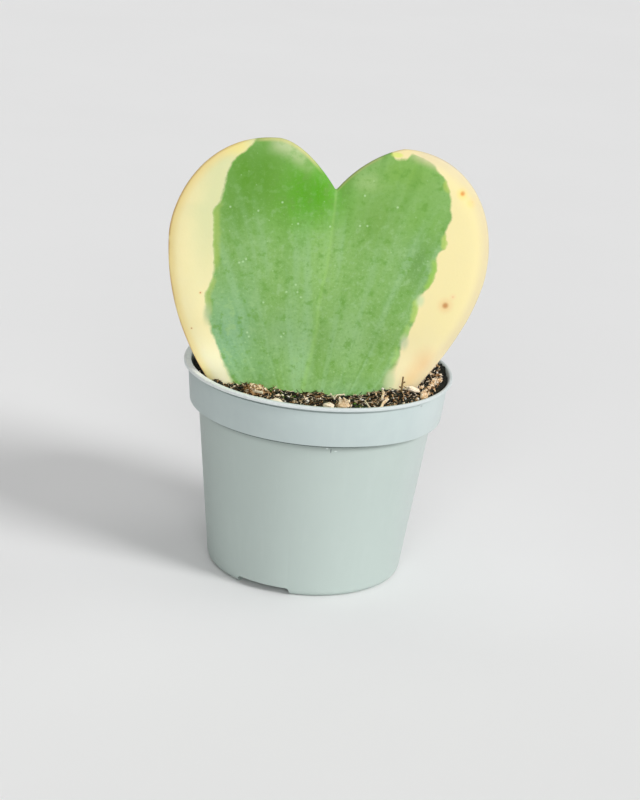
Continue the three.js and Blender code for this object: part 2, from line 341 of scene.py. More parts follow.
pot = {
    "segments": 160,
    "base": 2.0,
    "baseThickness": 1.0,
    "footInner": 19.4,
    "footDraft": 0.3,
    "bodyFoot": 22.1,
    "bodyTop": 26.5,
    "bandDepth": 9.6,
    "bandFoot": 28.5,
    "bandTop": 29.3,
    "bandUndercut": (0.6, 0.35),
    "lip": potTop.x / mm,
    "lipHeight": 0.85,
    "lipInner": 28.8,
    "lipGroove": (0.22, 0.42),
    # How the soft band and lip sit off the true circle
    "bandShift": -0.13,
    "bandBlend": 1.0,
    "lipShift": -0.2,
    "lipBlend": 0.3,
    "lipStretch": 1.008,
    # The inside of the rim, how far down and out it moves, and how it sags
    "innerShift": (0.45, -0.25),
    "innerDepth": 3.0,
    "innerReach": 29.12,
    "sag": 0.2,
    "sagRight": 0.5,
    "sagSpan": 10.0,
    "wall": 0.8,
    "archHeight": 1.7,
    "archWidth": 12.6,
    "archDepth": 9.0,
    "archRounding": 0.7,
    "archBearings": (247, 67),
    "drainHoles": 6,
    "drainRadius": 2.2,
    "drainCircle": 12.5,
    "gloss": 0.38,
    "roughness": (0.42, 0.54),
    "greys": ((185, 198, 197), (190, 203, 201)),
    "bodyGrey": (184, 197, 190),
    "streakGrey": (204, 214, 211),
    # Painted shade for the creases under the lip and band, and painted shadow under the band
    "creaseShadeGrey": (88, 101, 98),
    # Painted light at the right, and painted highlight on the top of the lip
    "litRightGrey": (206, 214, 213),
    "lipHighlightGreys": ((244, 249, 247), (202, 209, 209)),
    "scuffGrey": (218, 226, 223),
    # Small marks on the front, across and above the floor: place, size, share and colour
    "marks": [
        ((4.05, 36.4), (0.17, 0.75), 0.8, (92, 104, 102)),
        ((3.2, 36.9), (0.4, 0.2), 0.8, (226, 235, 232)),
        ((5.1, 36.3), (0.45, 0.18), 0.8, (222, 232, 228)),
        ((22.1, 46.0), (0.5, 0.14), 0.8, (150, 160, 158)),
        ((22.8, 45.6), (0.3, 0.3), 0.8, (160, 170, 168)),
    ],
}
# Heights above the floor: the undersides of band and lip, the step inside, and the pot's base inside
bandLevel = rimHeight - pot["bandDepth"]
lipLevel = rimHeight - pot["lipHeight"]
stepLevel = bandLevel + pot["wall"]
baseLevel = pot["base"] + pot["baseThickness"]


def potRings():
    # Radius, height and rounding of each ring, from under the base, over the lip, to the base inside
    wall, foot, top = pot["wall"], pot["bodyFoot"], pot["bodyTop"]
    undercut, undercutHeight = pot["bandUndercut"]
    groove, grooveHeight = pot["lipGroove"]
    baseRadius = foot + (top - foot) / bandLevel * baseLevel - wall
    return [
        (pot["footInner"] - pot["footDraft"], pot["base"], 0.3),
        (pot["footInner"], 0.0, 0.15),
        (foot, 0.0, 1.5),
        (top, bandLevel, 0.15),
        (pot["bandFoot"] - undercut, bandLevel, 0.05),
        (pot["bandFoot"] - undercut, bandLevel + undercutHeight, 0.05),
        (pot["bandFoot"], bandLevel + undercutHeight, 0.14),
        (pot["bandTop"], lipLevel - grooveHeight, 0.06),
        (pot["bandTop"] - groove, lipLevel - grooveHeight, 0.05),
        (pot["bandTop"] - groove, lipLevel, 0.05),
        (pot["lip"], lipLevel, 0.22),
        (pot["lip"], rimHeight, 0.35),
        (pot["lipInner"], rimHeight, 0.3),
        (pot["bandFoot"] - wall, stepLevel, 0.2),
        (top - wall, stepLevel, 0.2),
        (baseRadius, baseLevel, 0.5),
    ]


def turnedFromRings(name, rings, segments):
    # A disc that is drawn out from ring to ring
    radius, height = rings[0][:2]
    bpy.ops.mesh.primitive_circle_add(
        vertices=segments, radius=radius * mm, fill_type="NGON", location=(0, 0, height * mm)
    )
    piece = currentPiece(name)
    startEdit(piece)
    for nextRadius, nextHeight in (ring[:2] for ring in rings[1:]):
        lift = (0, 0, (nextHeight - height) * mm)
        bpy.ops.mesh.extrude_region_move(TRANSFORM_OT_translate={"value": lift})
        share = nextRadius / radius
        bpy.ops.transform.resize(value=(share, share, 1), center_override=(0, 0, nextHeight * mm))
        radius, height = nextRadius, nextHeight
    endEdit()
    fixNormals(piece)
    return piece


def roundRing(piece, radius, height, rounding):
    startEdit(piece, "EDGE")
    bpy.ops.mesh.select_all(action="DESELECT")
    near = 0.02 * mm

    def onRing(co):
        return abs(co.z - height * mm) < near and abs(co.xy.length - radius * mm) < near

    for edge in bmesh.from_edit_mesh(piece.data).edges:
        if all(onRing(end.co) for end in edge.verts):
            edge.select_set(True)
    bmesh.update_edit_mesh(piece.data)
    bpy.ops.mesh.bevel(offset=rounding * mm, segments=4, affect="EDGES", profile=0.5)
    endEdit()


def footArch(bearing):
    reach = (pot["bodyFoot"] + pot["footInner"]) / 2
    turn = math.radians(bearing)
    bpy.ops.mesh.primitive_cube_add(
        size=1,
        location=(reach * math.cos(turn) * mm, reach * math.sin(turn) * mm, 0),
        rotation=(0, 0, turn),
        scale=(pot["archDepth"] * mm, pot["archWidth"] * mm, 2 * pot["archHeight"] * mm),
    )
    arch = currentPiece("footArch")
    applyModifier(arch, "BEVEL", width=pot["archRounding"] * mm, segments=4)
    return arch


def drainHole(index):
    bearing = math.radians(360 / pot["drainHoles"] * (index + 0.5))
    bpy.ops.mesh.primitive_cylinder_add(
        vertices=48,
        radius=pot["drainRadius"] * mm,
        depth=3 * pot["baseThickness"] * mm,
        location=(
            pot["drainCircle"] * math.cos(bearing) * mm,
            pot["drainCircle"] * math.sin(bearing) * mm,
            (pot["base"] + pot["baseThickness"] / 2) * mm,
        ),
    )
    return currentPiece("drainHole")


def potPlastic():
    material, surface, where = newMaterial("potPlastic", pot["gloss"])
    x, y, z = partsOf(where)
    colour = between(fade(mottle(where, 16.0, 0.25), 0.35, 0.65), *pot["greys"])
    # The body is a little warmer than the band
    colour = paint(colour, pot["bodyGrey"], fade(z, bandLevel + 0.1, bandLevel - 0.1), 0.7)
    flow = grain(vectorOf(x, y, product(z, 0.06)), 0.8, 2.0)
    colour = paint(colour, pot["streakGrey"], fade(flow, 0.5, 0.75), 0.07)
    # Painted shade: darker lines in the crease under the lip and in the band's undercut, weaker at the right
    # where the key light falls, and a painted shadow on the body under the band
    span = pot["sagSpan"]
    atFront = fade(y, span, -span)
    sagging = product(atFront, pot["sag"])
    aboveLip = calc("SUBTRACT", z, calc("SUBTRACT", lipLevel, sagging))
    saggingRight = product(fade(x, span, 3 * span, 0.0, pot["sagRight"]), atFront)
    aboveBand = calc("SUBTRACT", z, calc("SUBTRACT", bandLevel, calc("ADD", sagging, saggingRight)))
    undercut = pot["bandUndercut"][1]
    shadeUnderLip = product(fade(aboveLip, -0.65, -0.4), fade(aboveLip, 0.0, -0.05), 0.5)
    shadeInUndercut = product(fade(aboveBand, -0.06, 0.0), fade(aboveBand, undercut, undercut - 0.06))
    shadowUnderBand = product(fade(aboveBand, -1.8, -0.4), fade(aboveBand, 0.0, -0.05), 0.3)
    creaseShade = product(calc("MAXIMUM", shadeUnderLip, shadeInUndercut), fade(x, 4.0, 22.0, 1.0, 0.3))
    colour = paint(colour, pot["creaseShadeGrey"], calc("MAXIMUM", creaseShade, shadowUnderBand))
    # Painted light: paler at the right, where the key light falls, and a painted highlight on the top of the
    # lip; pale scuffs here and there
    colour = paint(colour, pot["litRightGrey"], fade(x, 18.0, 27.0), 0.5)
    patchy = fade(grain(where, 1.4, 4.0, 0.7), 0.35, 0.6, 0.7, 0.9)
    lipHighlight = between(fade(x, -24.0, 10.0), *pot["lipHighlightGreys"])
    colour = blend(product(fade(aboveLip, 0.0, 0.3), patchy), colour, lipHighlight)
    scuffs = fade(grain(where, 1.1, 6.0, 0.75), 0.7, 0.78)
    colour = paint(colour, pot["scuffGrey"], scuffs, 0.3)
    colour = addPatches(colour, (x, z), pot["marks"], 0.4, fade(y, -8.0, -14.0))
    feed(surface.inputs["Roughness"], fade(mottle(where, 3.0), 0.3, 0.7, *pot["roughness"]))
    cover(surface, colour, mottle(where, 0.5), 0.02, 0.5)
    return material


def nearRim(height):
    # How far the inside follows the rim's shift: 1 at the rim, falling to 0 below it
    return clamp((height - rimHeight + pot["innerDepth"]) / pot["innerDepth"])


def settleRim(shell):
    # The band and lip of the soft moulding sit slightly to the left, and sag at the front and right
    span, bandBlend, lipBlend = pot["sagSpan"], pot["bandBlend"], pot["lipBlend"]
    for vertex in shell.data.vertices:
        x, y, height = vertex.co / mm
        onBand = clamp((height - bandLevel + bandBlend) / bandBlend)
        onLip = clamp((height - lipLevel + lipBlend) / lipBlend)
        inside = math.hypot(x, y) < pot["innerReach"]
        shift = onBand * pot["bandShift"] + onLip * (pot["lipShift"] - pot["bandShift"])
        stretch = 1 + onLip * (pot["lipStretch"] - 1)
        inward = nearRim(height) if inside else 0.0
        sag = pot["sag"] + pot["sagRight"] * clamp((x - span) / (2 * span)) * clamp((lipLevel - height) / 4)
        sag *= onBand * clamp((span - y) / (2 * span))
        vertex.co.x = (x * stretch + shift + inward * pot["innerShift"][0]) * mm
        vertex.co.y = (y + inward * pot["innerShift"][1]) * mm
        vertex.co.z = (height - sag) * mm


def makePot():
    rings = potRings()
    shell = turnedFromRings("potShell", rings, pot["segments"])
    for ring in rings:
        roundRing(shell, *ring)
    settleRim(shell)
    for bearing in pot["archBearings"]:
        combine(shell, footArch(bearing), "DIFFERENCE")
    for index in range(pot["drainHoles"]):
        combine(shell, drainHole(index), "DIFFERENCE")
    smooth(shell)
    finishPiece(shell, potPlastic(), "pot_plastic", "pot")


makePot()
print("pot made")


# Leaf. Places on it are in millimetres: across from the midrib and up from the pot's rim

leaf = {
    "centre": (0.0, 20.0),
    "notch": (0.5, 41.8),
    "foot": (0.0, -22.0),
    "left": {
        "top": (-12.7, 52.2), "side": (-34.6, 29.5), "notchPull": (-4.1, 48.5),
        "topIn": 3.6, "topOut": 15.8, "sideUp": 7.5, "sideDown": 33.9, "footPull": (-3.2, -22.0),
    },
    "right": {
        "top": (14.8, 51.6), "side": (35.2, 27.9), "notchPull": (6.3, 49.7),
        "topIn": 0.9, "topOut": 10.2, "sideUp": 15.8, "sideDown": 21.7, "footPull": (3.2, -22.0),
    },
    "halfWidth": 34.4,
    "thickness": 3.2,
    "edgeThickness": 1.1,
    "edgeWidth": 5.0,
    "marginBend": 1.8,
    "topLean": 2.0,
    "twist": 0.6,
    "forward": 10.0,
    "yaw": 6.0,
    "stepsPerCurve": 32,
    "reaches": (
        0.99, 0.975, 0.955, 0.93, 0.9, 0.86, 0.81, 0.75, 0.68, 0.6, 0.52, 0.44, 0.36, 0.28, 0.2, 0.12, 0.05,
    ),
    "midribGroove": 0.14,
    "midribWidth": 0.8,
    # Heights between which the groove deepens
    "grooveFade": (-5, 35),
    "ripple": 0.12,
    "rippleScale": (0.09, 3, 0.07),
    # Margin in which groove and waves fade out
    "plainMargin": 4.0,
    "petioleRadius": 2.3,
    "petioleTipRadius": 1.9,
    "petioleTop": -15.0,
    "petioleTip": -31.0,
    "petioleRounding": 1.2,
    "gloss": 0.25,
    "roughness": (0.4, 0.56),
    "subsurface": {"Weight": 0.1, "Radius": (1.0, 0.8, 0.3), "Scale": 0.8 * mm},
}


def leafDepth(across, height):
    side = across / leaf["halfWidth"]
    climb = clamp((height - leaf["foot"][1]) / (leaf["left"]["top"][1] - leaf["foot"][1]))
    bend = leaf["marginBend"] * abs(side) ** 2.4
    return bend + leaf["topLean"] * climb ** 2 - leaf["twist"] * side * climb


def sideCurves(name, outward):
    # Start, two pulls and end of each stretch, down one side of the leaf
    half = leaf[name]
    (topX, topY), (sideX, sideY) = half["top"], half["side"]
    return [
        (leaf["notch"], half["notchPull"], (topX - outward * half["topIn"], topY), half["top"]),
        (half["top"], (topX + outward * half["topOut"], topY), (sideX, sideY + half["sideUp"]), half["side"]),
        (half["side"], (sideX, sideY - half["sideDown"]), half["footPull"], leaf["foot"]),
    ]


def leafOutline(steps):
    # From the notch down the left side and up the right one
    upRight = [curve[::-1] for curve in reversed(sideCurves("right", 1))]
    points = []
    for curve in sideCurves("left", -1) + upRight:
        corners = [Vector((x, y, 0)) for x, y in curve]
        points += geometry.interpolate_bezier(*corners, steps + 1)[:-1]
    return [point.xy for point in points]


def leafSheet():
    # The outline ring is drawn in towards the middle, ring by ring
    outline = leafOutline(leaf["stepsPerCurve"])
    bpy.ops.mesh.primitive_circle_add(
        vertices=len(outline), radius=leaf["halfWidth"] * mm, fill_type="NOTHING"
    )
    sheet = currentPiece("heartLeaf")
    for vertex, point in zip(sheet.data.vertices, outline):
        vertex.co = Vector((point.x, 0, point.y)) * mm
    startEdit(sheet, "EDGE")
    middle = (leaf["centre"][0] * mm, 0, leaf["centre"][1] * mm)
    previous = 1.0
    for reach in leaf["reaches"]:
        bpy.ops.mesh.extrude_edges_move(TRANSFORM_OT_translate={"value": (0, 0, 0)})
        share = reach / previous
        bpy.ops.transform.resize(value=(share, share, share), center_override=middle)
        previous = reach
    bpy.ops.mesh.extrude_edges_move(TRANSFORM_OT_translate={"value": (0, 0, 0)})
    bpy.ops.mesh.merge(type="CENTER")
    endEdit()
    return sheet


def marginFinder():
    outline = leafOutline(120)
    finder = kdtree.KDTree(len(outline))
    for index, point in enumerate(outline):
        finder.insert((point.x, 0, point.y), index)
    finder.balance()
    return finder


def bladeShare(margin):
    # Share of the full thickness, from the distance to the margin in millimetres
    edge = leaf["edgeThickness"] / leaf["thickness"]
    share = min(1.0, margin / leaf["edgeWidth"])
    return edge + (1 - edge) * (1 - (1 - share) ** 2.4)


def thickenLeaf(sheet, margins):
    thick = sheet.vertex_groups.new(name="thickness")
    for vertex in sheet.data.vertices:
        across, height = vertex.co.x / mm, vertex.co.z / mm
        margin = margins.find((across, 0, height))[2]
        thick.add([vertex.index], bladeShare(margin), "REPLACE")
        vertex.co.y = leafDepth(across, height) * mm
    thickness = leaf["thickness"] * mm
    applyModifier(sheet, "SOLIDIFY", thickness=thickness, offset=0, vertex_group="thickness")
    fixNormals(sheet)
    applyModifier(sheet, "SUBSURF", levels=1, render_levels=1)


def lineAt(points, height):
    # Straight from point to point through pairs of height and distance
    height = min(points[-1][0], max(points[0][0], height))
    for (low, first), (high, second) in zip(points, points[1:]):
        if height <= high:
            return first + (second - first) * (height - low) / (high - low)


def shapeLeafFaces(sheet, margins):
    # Shallow groove along the midrib, faint waves, and the values that the skin's colours follow
    marginValues, facingValues = [], []
    low, high = leaf["grooveFade"]
    scaleX, scaleY, scaleZ = leaf["rippleScale"]
    for vertex in sheet.data.vertices:
        across, height = vertex.co.x / mm, vertex.co.z / mm
        margin = margins.find((across, 0, height))[2]
        away = vertex.co.y / mm - leafDepth(across, height)
        facing = max(-1.0, min(1.0, -2 * away / leaf["thickness"]))
        inner = min(1.0, margin / leaf["plainMargin"])
        fromRib = across - leaf["notch"][0] + lineAt(leafMarks["midrib"], height)
        groove = math.exp(-(fromRib / leaf["midribWidth"]) ** 2) * clamp((height - low) / (high - low))
        wave = noise.noise(Vector((across * scaleX, facing * scaleY, height * scaleZ)))
        vertex.co.y += facing * inner * (leaf["midribGroove"] * groove + leaf["ripple"] * wave) * mm
        marginValues.append(margin)
        facingValues.append(facing)
    setValues(sheet, "margin", marginValues)
    setValues(sheet, "facing", facingValues)


def petiole():
    length = leaf["petioleTop"] - leaf["petioleTip"]
    middle = (leaf["petioleTop"] + leaf["petioleTip"]) / 2
    bpy.ops.mesh.primitive_cone_add(
        vertices=24,
        radius1=leaf["petioleTipRadius"] * mm,
        radius2=leaf["petioleRadius"] * mm,
        depth=length * mm,
        location=(0, leafDepth(0, leaf["foot"][1]) * mm, middle * mm),
    )
    stalk = currentPiece("petiole")
    edges = {"limit_method": "ANGLE", "angle_limit": math.radians(40)}
    applyModifier(stalk, "BEVEL", width=leaf["petioleRounding"] * mm, segments=4, **edges)
    return stalk


leafMarks = {
    # Height, and how far left of the notch the midrib runs
    "midrib": [
        (-22, 5.5), (-3, 3.9), (0.3, 3.5), (5.8, 2.6), (11, 2.0), (18, 1.7), (27, 0.6), (36, 0.2),
        (42, 0.0), (55, 0.0),
    ],
    "midribGreen": (160, 204, 112),
    # Height and distance from the middle where the green ends
    "greenLeft": [
        (-5, 18.4), (-1.5, 19.3), (2, 20.9), (4.8, 22.2), (10, 24.4), (14, 25.5), (18.2, 25.8),
        (19.6, 25.3), (21.6, 24.7), (23.2, 24.5), (28, 24.8), (33, 25.0), (36, 25.3), (37.9, 24.1),
        (41, 23.6), (45.3, 22.6), (47.5, 21.4), (49.4, 19.2), (51.6, 17.3), (55, 14.0),
    ],
    "greenRight": [
        (-5, 14.5), (-1.3, 15.2), (0.8, 15.2), (5.5, 17.1), (7.6, 17.3), (11.8, 18.9), (15, 20.0),
        (19.8, 20.7), (22.1, 22.3), (25.6, 23.6), (28.5, 23.3), (29.9, 23.9), (30.9, 25.1), (32.1, 25.4),
        (33.2, 24.9), (36, 25.4), (37.4, 25.9), (38.8, 25.5), (41, 25.5), (42.7, 24.9), (45.9, 23.5),
        (47.4, 22.0), (48.7, 21.1), (49.9, 19.2), (50.8, 16.5), (55, 13.0),
    ],
    "rightTop": 50.9,
    # Half the width of the green's edge, and where it is wider: place, size and extra width
    "softness": 0.4,
    "softPlaces": [
        ((15.6, -1.0), (6.0, 9.0), 1.1), ((-20.0, -3.0), (8.0, 9.0), 0.6), ((-26.0, 12.0), (3.0, 5.0), 0.4),
    ],
    "greens": ((127, 172, 90), (135, 179, 100)),
    "backGreen": (158, 190, 138),
    # Every patch: place, size, share and colour
    "greenPatches": [
        ((-5.0, 40.0), (15.0, 15.0), 1.0, (104, 170, 44)),
        ((-17.5, 44.0), (13.0, 17.0), 1.0, (92, 150, 36)),
        ((-4.2, 41.5), (10.0, 11.0), 1.0, (86, 162, 16)),
        ((10.5, 36.0), (8.0, 12.0), 0.8, (116, 162, 70)),
        ((15.0, 47.0), (10.0, 7.0), 0.8, (122, 170, 66)),
        ((7.2, 44.2), (5.0, 3.4), 0.7, (158, 192, 118)),
        ((20.0, 36.5), (7.0, 10.0), 0.7, (118, 168, 72)),
        ((-1.0, 26.0), (8.0, 16.0), 0.8, (146, 189, 108)),
        ((20.0, 27.0), (7.0, 10.0), 0.9, (110, 155, 82)),
        ((-20.5, 36.0), (5.0, 8.0), 0.7, (98, 150, 52)),
        ((-20.5, 8.0), (10.0, 20.0), 0.95, (132, 178, 132)),
        ((-9.5, 9.5), (5.0, 9.0), 0.7, (142, 184, 124)),
        ((-4.6, 4.0), (4.4, 16.0), 0.8, (154, 195, 140)),
        ((6.0, 9.6), (7.0, 12.0), 0.9, (148, 190, 122)),
        ((16.0, 18.0), (5.0, 7.0), 0.6, (120, 168, 84)),
        ((-12.5, 1.0), (4.5, 8.0), 0.7, (124, 170, 110)),
        ((8.0, -4.0), (15.0, 7.0), 0.7, (132, 176, 124)),
        ((-19.5, 26.0), (8.0, 10.0), 0.6, (126, 170, 94)),
    ],
    # Streaks, patches and grain, with less of the pale ones by the notch. Every layer: colour,
    # share, and the values that it follows with the start, end, low and high of their fades
    "greenLayers": [
        ((152, 193, 140), 1.0, ("streaks", 0.46, 0.72), ("height", 46, 26, 0.1, 0.5)),
        ((106, 156, 64), 0.5, ("shades", 0.46, 0.26)),
        ((106, 158, 62), 0.7, ("patchy", 0.48, 0.32)),
        ((150, 190, 126), 1.0, ("patchy", 0.52, 0.68), ("height", 46, 22, 0.15, 0.7)),
        ((100, 150, 66), 0.6, ("fine", 0.48, 0.28)),
        ((164, 203, 138), 1.0, ("fine", 0.52, 0.74), ("height", 46, 22, 0.15, 0.7)),
        ((196, 226, 176), 0.3, ("fleckAway", 0.15, 0.05), ("fleckDraw", 0.76, 0.86)),
    ],
    "specks": [
        (-17.8, 25.9), (-19.2, 25.0), (-18.4, 25.3), (-13.4, 16.6), (-8.5, 9.9), (-6.7, 21.0), (-5.4, 18.3),
        (-8.6, 19.3), (-16.0, 8.7), (-10.9, 38.8), (-7.2, 34.4), (-0.3, 34.2), (13.9, 39.3), (-6.2, 19.4),
        (-15.9, 36.6), (-21.9, 37.0), (6.1, 34.8), (7.7, 34.9), (6.6, 41.4), (-16.4, 9.6), (-9.0, 9.2),
    ],
    "speckRadius": 0.36,
    "speckGreen": (196, 228, 178),
    "creams": ((245, 233, 177), (247, 236, 183)),
    "creamLayers": [
        # Darker cream towards the right: painted shade against the key light on the right side
        ((238, 225, 169), 1.0, ("across", -8, 24)),
        ((236, 225, 186), 0.7, ("across", 8, 14), ("height", 16, 0)),
        ((220, 222, 170), 1.0, ("inside", -8, -1.5), ("across", 0, -8), ("height", 13, 36, 0.1, 0.95)),
        ((240, 237, 203), 0.7, ("across", -12, -18), ("height", 12, 0)),
        ((243, 220, 146), 0.75, ("across", -18, -24), ("margin", 2.4, 0.3)),
        ((232, 215, 162), 0.7, ("across", 8, 12), ("height", 47.5, 50), ("margin", 3, 1)),
    ],
    "creamPatches": [
        ((23.2, 4.2), (4.8, 6.0), 0.9, (229, 198, 148)),
        ((20.6, 0.4), (3.8, 5.2), 0.8, (229, 199, 148)),
        ((-21.0, 50.0), (5.0, 4.0), 0.7, (242, 226, 140)),
        ((29.5, 43.0), (3.5, 5.0), 0.6, (243, 232, 158)),
    ],
    "freckle": (232, 204, 140),
    # Place, core and halo radius, and the colours of both
    "spots": [
        ((27.8, 43.0), 0.75, 2.0, (222, 140, 46), (252, 216, 118)),
        ((30.2, 41.2), 0.2, 1.9, (246, 200, 100), (252, 219, 126)),
        ((26.4, 18.1), 0.95, 2.5, (192, 132, 74), (234, 196, 138)),
        ((27.9, 20.1), 0.3, 1.1, (232, 196, 146), (240, 212, 160)),
        ((-27.1, 17.7), 0.22, 0.6, (190, 108, 66), (236, 206, 140)),
        ((-28.5, 9.5), 0.2, 0.5, (176, 118, 70), (236, 206, 140)),
    ],
    "fringes": [
        ((-24.2, 30.5), (3.0, 8.6), 0.65, (164, 191, 92)),
        ((-25.0, 17.4), (2.6, 5.2), 0.65, (172, 196, 108)),
        ((25.6, 32.2), (2.2, 2.4), 0.65, (190, 212, 108)),
        ((25.0, 44.6), (2.2, 2.0), 0.65, (176, 196, 96)),
        ((22.8, 24.6), (2.8, 4.4), 0.65, (158, 200, 82)),
        ((19.6, 16.6), (2.4, 3.2), 0.65, (188, 214, 112)),
        ((17.4, 12.0), (2.2, 2.4), 0.65, (172, 208, 116)),
        ((15.2, 6.6), (2.4, 3.0), 0.65, (172, 210, 120)),
    ],
    "slivers": [
        ((-25.3, 13.2), (1.3, 3.6), 0.6, (172, 192, 146)),
        ((20.7, 19.0), (1.4, 2.1), 0.8, (204, 220, 172)),
        ((18.1, 9.4), (1.4, 2.6), 0.75, (192, 204, 164)),
        ((15.6, 0.2), (2.2, 4.4), 0.65, (184, 204, 158)),
    ],
    # The pale haze on the left lobe, thin dried lines along the edge, and painted shade along the right
    # margin and on its edge
    "marginLayers": [
        (
            (184, 199, 148), 1.0, ("across", -16, -11.5), ("across", -3, -9.5), ("height", 43.5, 46.5),
            ("margin", 4.4, 1), ("clouds", 0.34, 0.58, 0.35, 0.85),
        ),
        (
            (205, 158, 94), 0.75, ("across", -17, -22), ("margin", 0.5, 0.1), ("height", -8, 4),
            ("height", 50, 26, 0.5, 1),
        ),
        # Darker cream along the right margin, and a greyish line at its very edge: painted shade on the
        # margin that bends towards the key light, and on the edge's shadow side
        ((221, 207, 168), 0.85, ("across", 14, 20), ("margin", 3.2, 0.5)),
        ((204, 192, 172), 0.5, ("across", 16, 24), ("margin", 0.45, 0.1)),
        (
            (206, 200, 132), 0.7, ("across", -2, -5.5), ("across", -19, -15), ("height", 43, 46),
            ("margin", 0.9, 0.2),
        ),
        (
            (176, 178, 112), 0.6, ("across", 0.4, 1.4), ("across", 11, 8.5), ("height", 40, 42),
            ("margin", 0.55, 0.1), ("green",),
        ),
    ],
    "limePatches": [((12.9, 50.4), (1.7, 0.7), 0.8, (216, 228, 112))],
}


def edgeLine(height, points):
    # The distance that the points give at each height, in millimetres
    lowest, highest, widest = points[0][0], points[-1][0], 40.0
    span = calc("DIVIDE", calc("SUBTRACT", height, lowest), highest - lowest)
    made = nextNode("ShaderNodeFloatCurve", {1: span})
    line = made.mapping.curves[0]
    spots = [((at - lowest) / (highest - lowest), reach / widest) for at, reach in points]
    line.points[0].location = spots[0]
    line.points[1].location = spots[-1]
    for spot in spots[1:-1]:
        line.points.new(*spot)
    made.mapping.update()
    return product(made.outputs[0], widest)


def leafGreen(flat, place):
    # Fresh green by the notch and greyer below, with soft streaks that fan up from the foot
    across, height = place
    base = between(fade(mottle(flat, 9.0, 0.3), 0.3, 0.7), *leafMarks["greens"])
    base = addPatches(base, place, leafMarks["greenPatches"], 0.0)
    fan = calc("DIVIDE", calc("ADD", across, 1.5), calc("ADD", height, 26.0))
    fanned = vectorOf(product(fan, 36.0), product(height, 0.06), 0.0)
    flecks = nextNode("ShaderNodeTexVoronoi", {"Vector": flat, "Scale": 0.6}).outputs
    values = {
        "height": height,
        "streaks": grain(fanned, 0.42, 1.6, 0.5),
        "shades": grain(fanned, 0.5, 1.2),
        "patchy": grain(flat, 0.42, 4.0, 0.6),
        "fine": grain(flat, 1.5, 4.0, 0.8),
        "fleckAway": flecks["Distance"],
        "fleckDraw": nextNode("ShaderNodeSeparateColor", {0: flecks["Color"]}).outputs[0],
    }
    base = addLayers(base, values, leafMarks["greenLayers"])
    size = (leafMarks["speckRadius"],) * 2
    specks = [(at, size, 0.6, leafMarks["speckGreen"]) for at in leafMarks["specks"]]
    base = addPatches(base, place, specks, 0.1)
    ribPlace = calc("SUBTRACT", leaf["notch"][0], edgeLine(height, leafMarks["midrib"]))
    fromRib = calc("ABSOLUTE", calc("SUBTRACT", across, ribPlace))
    ribAway = calc("DIVIDE", fromRib, fade(height, 0.0, 42.0, 0.9, 0.5))
    return paint(base, leafMarks["midribGreen"], fade(ribAway, 1.0, 0.0), 0.34)


def leafCream(flat, place, values):
    base = between(fade(mottle(flat, 10.0, 0.2), 0.3, 0.7), *leafMarks["creams"])
    base = addLayers(base, values, leafMarks["creamLayers"])
    base = addPatches(base, place, leafMarks["creamPatches"], 0.0)
    base = paint(base, leafMarks["freckle"], fade(grain(flat, 0.9, 4.0, 0.7), 0.68, 0.78), 0.2)
    for at, core, halo, coreColour, haloColour in leafMarks["spots"]:
        base = paint(base, haloColour, softSpot(place, at, (halo, halo), 0.0), 0.75)
        base = paint(base, coreColour, softSpot(place, at, (core, core), 0.2), 0.85)
    return base


def insideGreen(flat, place):
    # Millimetres inside the edge of the green
    across, height = place
    fromLeft = calc("ADD", across, edgeLine(height, leafMarks["greenLeft"]))
    fromRight = calc("SUBTRACT", edgeLine(height, leafMarks["greenRight"]), across)
    topLimit = fade(across, 11.6, 10.6, leafMarks["rightTop"], leafMarks["rightTop"] + 4.0)
    dip = product(softSpot(place, (13.8, 50.0), (2.3, 40.0), 0.5), 1.2)
    fromTop = calc("SUBTRACT", calc("SUBTRACT", topLimit, dip), height)
    inside = calc("MINIMUM", calc("MINIMUM", fromLeft, fromRight), fromTop)
    waves = calc("SUBTRACT", grain(flat, 0.5), 0.5)
    return calc("ADD", inside, product(waves, 1.2))


def leafSkin():
    location = (0, -leaf["forward"] * mm, rimHeight * mm)
    material, surface, where = newMaterial(
        "leafSkin", leaf["gloss"], location=location, turnDegrees=leaf["yaw"]
    )
    for key, value in leaf["subsurface"].items():
        surface.inputs["Subsurface " + key].default_value = value
    across, _, height = partsOf(where)
    place = (across, height)
    flat = vectorOf(across, height, 0.0)
    inside = insideGreen(flat, place)
    softness = leafMarks["softness"]
    for at, size, width in leafMarks["softPlaces"]:
        softness = calc("ADD", product(softSpot(place, at, size, 0.1), width), softness)
    green = fade(calc("DIVIDE", inside, softness), -1.0, 1.0)
    values = {
        "across": across,
        "height": height,
        "inside": inside,
        "margin": readValue(where, "margin"),
        "green": green,
        "clouds": grain(flat, 0.35, 4.0, 0.65),
    }
    colour = blend(green, leafCream(flat, place, values), leafGreen(flat, place))
    # Lime fringe just inside the green's edge, in places
    fringe = product(fade(inside, -0.4, 0.1), fade(inside, 1.7, 0.6))
    colour = addPatches(colour, place, leafMarks["fringes"], 0.6, fringe)
    colour = addPatches(colour, place, leafMarks["slivers"], 0.2)
    colour = addLayers(colour, values, leafMarks["marginLayers"])
    colour = addPatches(colour, place, leafMarks["limePatches"], 0.4)
    # Painted light: paler towards the foot, where the dark mix gives no light back
    paintedFootLight = fade(height, 11.0, -3.0, 1.0, 1.36)
    colour = blend(1.0, colour, vectorOf(paintedFootLight, paintedFootLight, paintedFootLight), "MULTIPLY")
    onBack = fade(readValue(where, "facing"), -0.1, -0.8)
    colour = paint(colour, leafMarks["backGreen"], onBack, green, 0.35)
    feed(surface.inputs["Roughness"], fade(mottle(flat, 2.0), 0.3, 0.7, *leaf["roughness"]))
    cover(surface, colour, grain(where, 1.7, 4.0, 0.65), 0.05, 0.6)
    return material


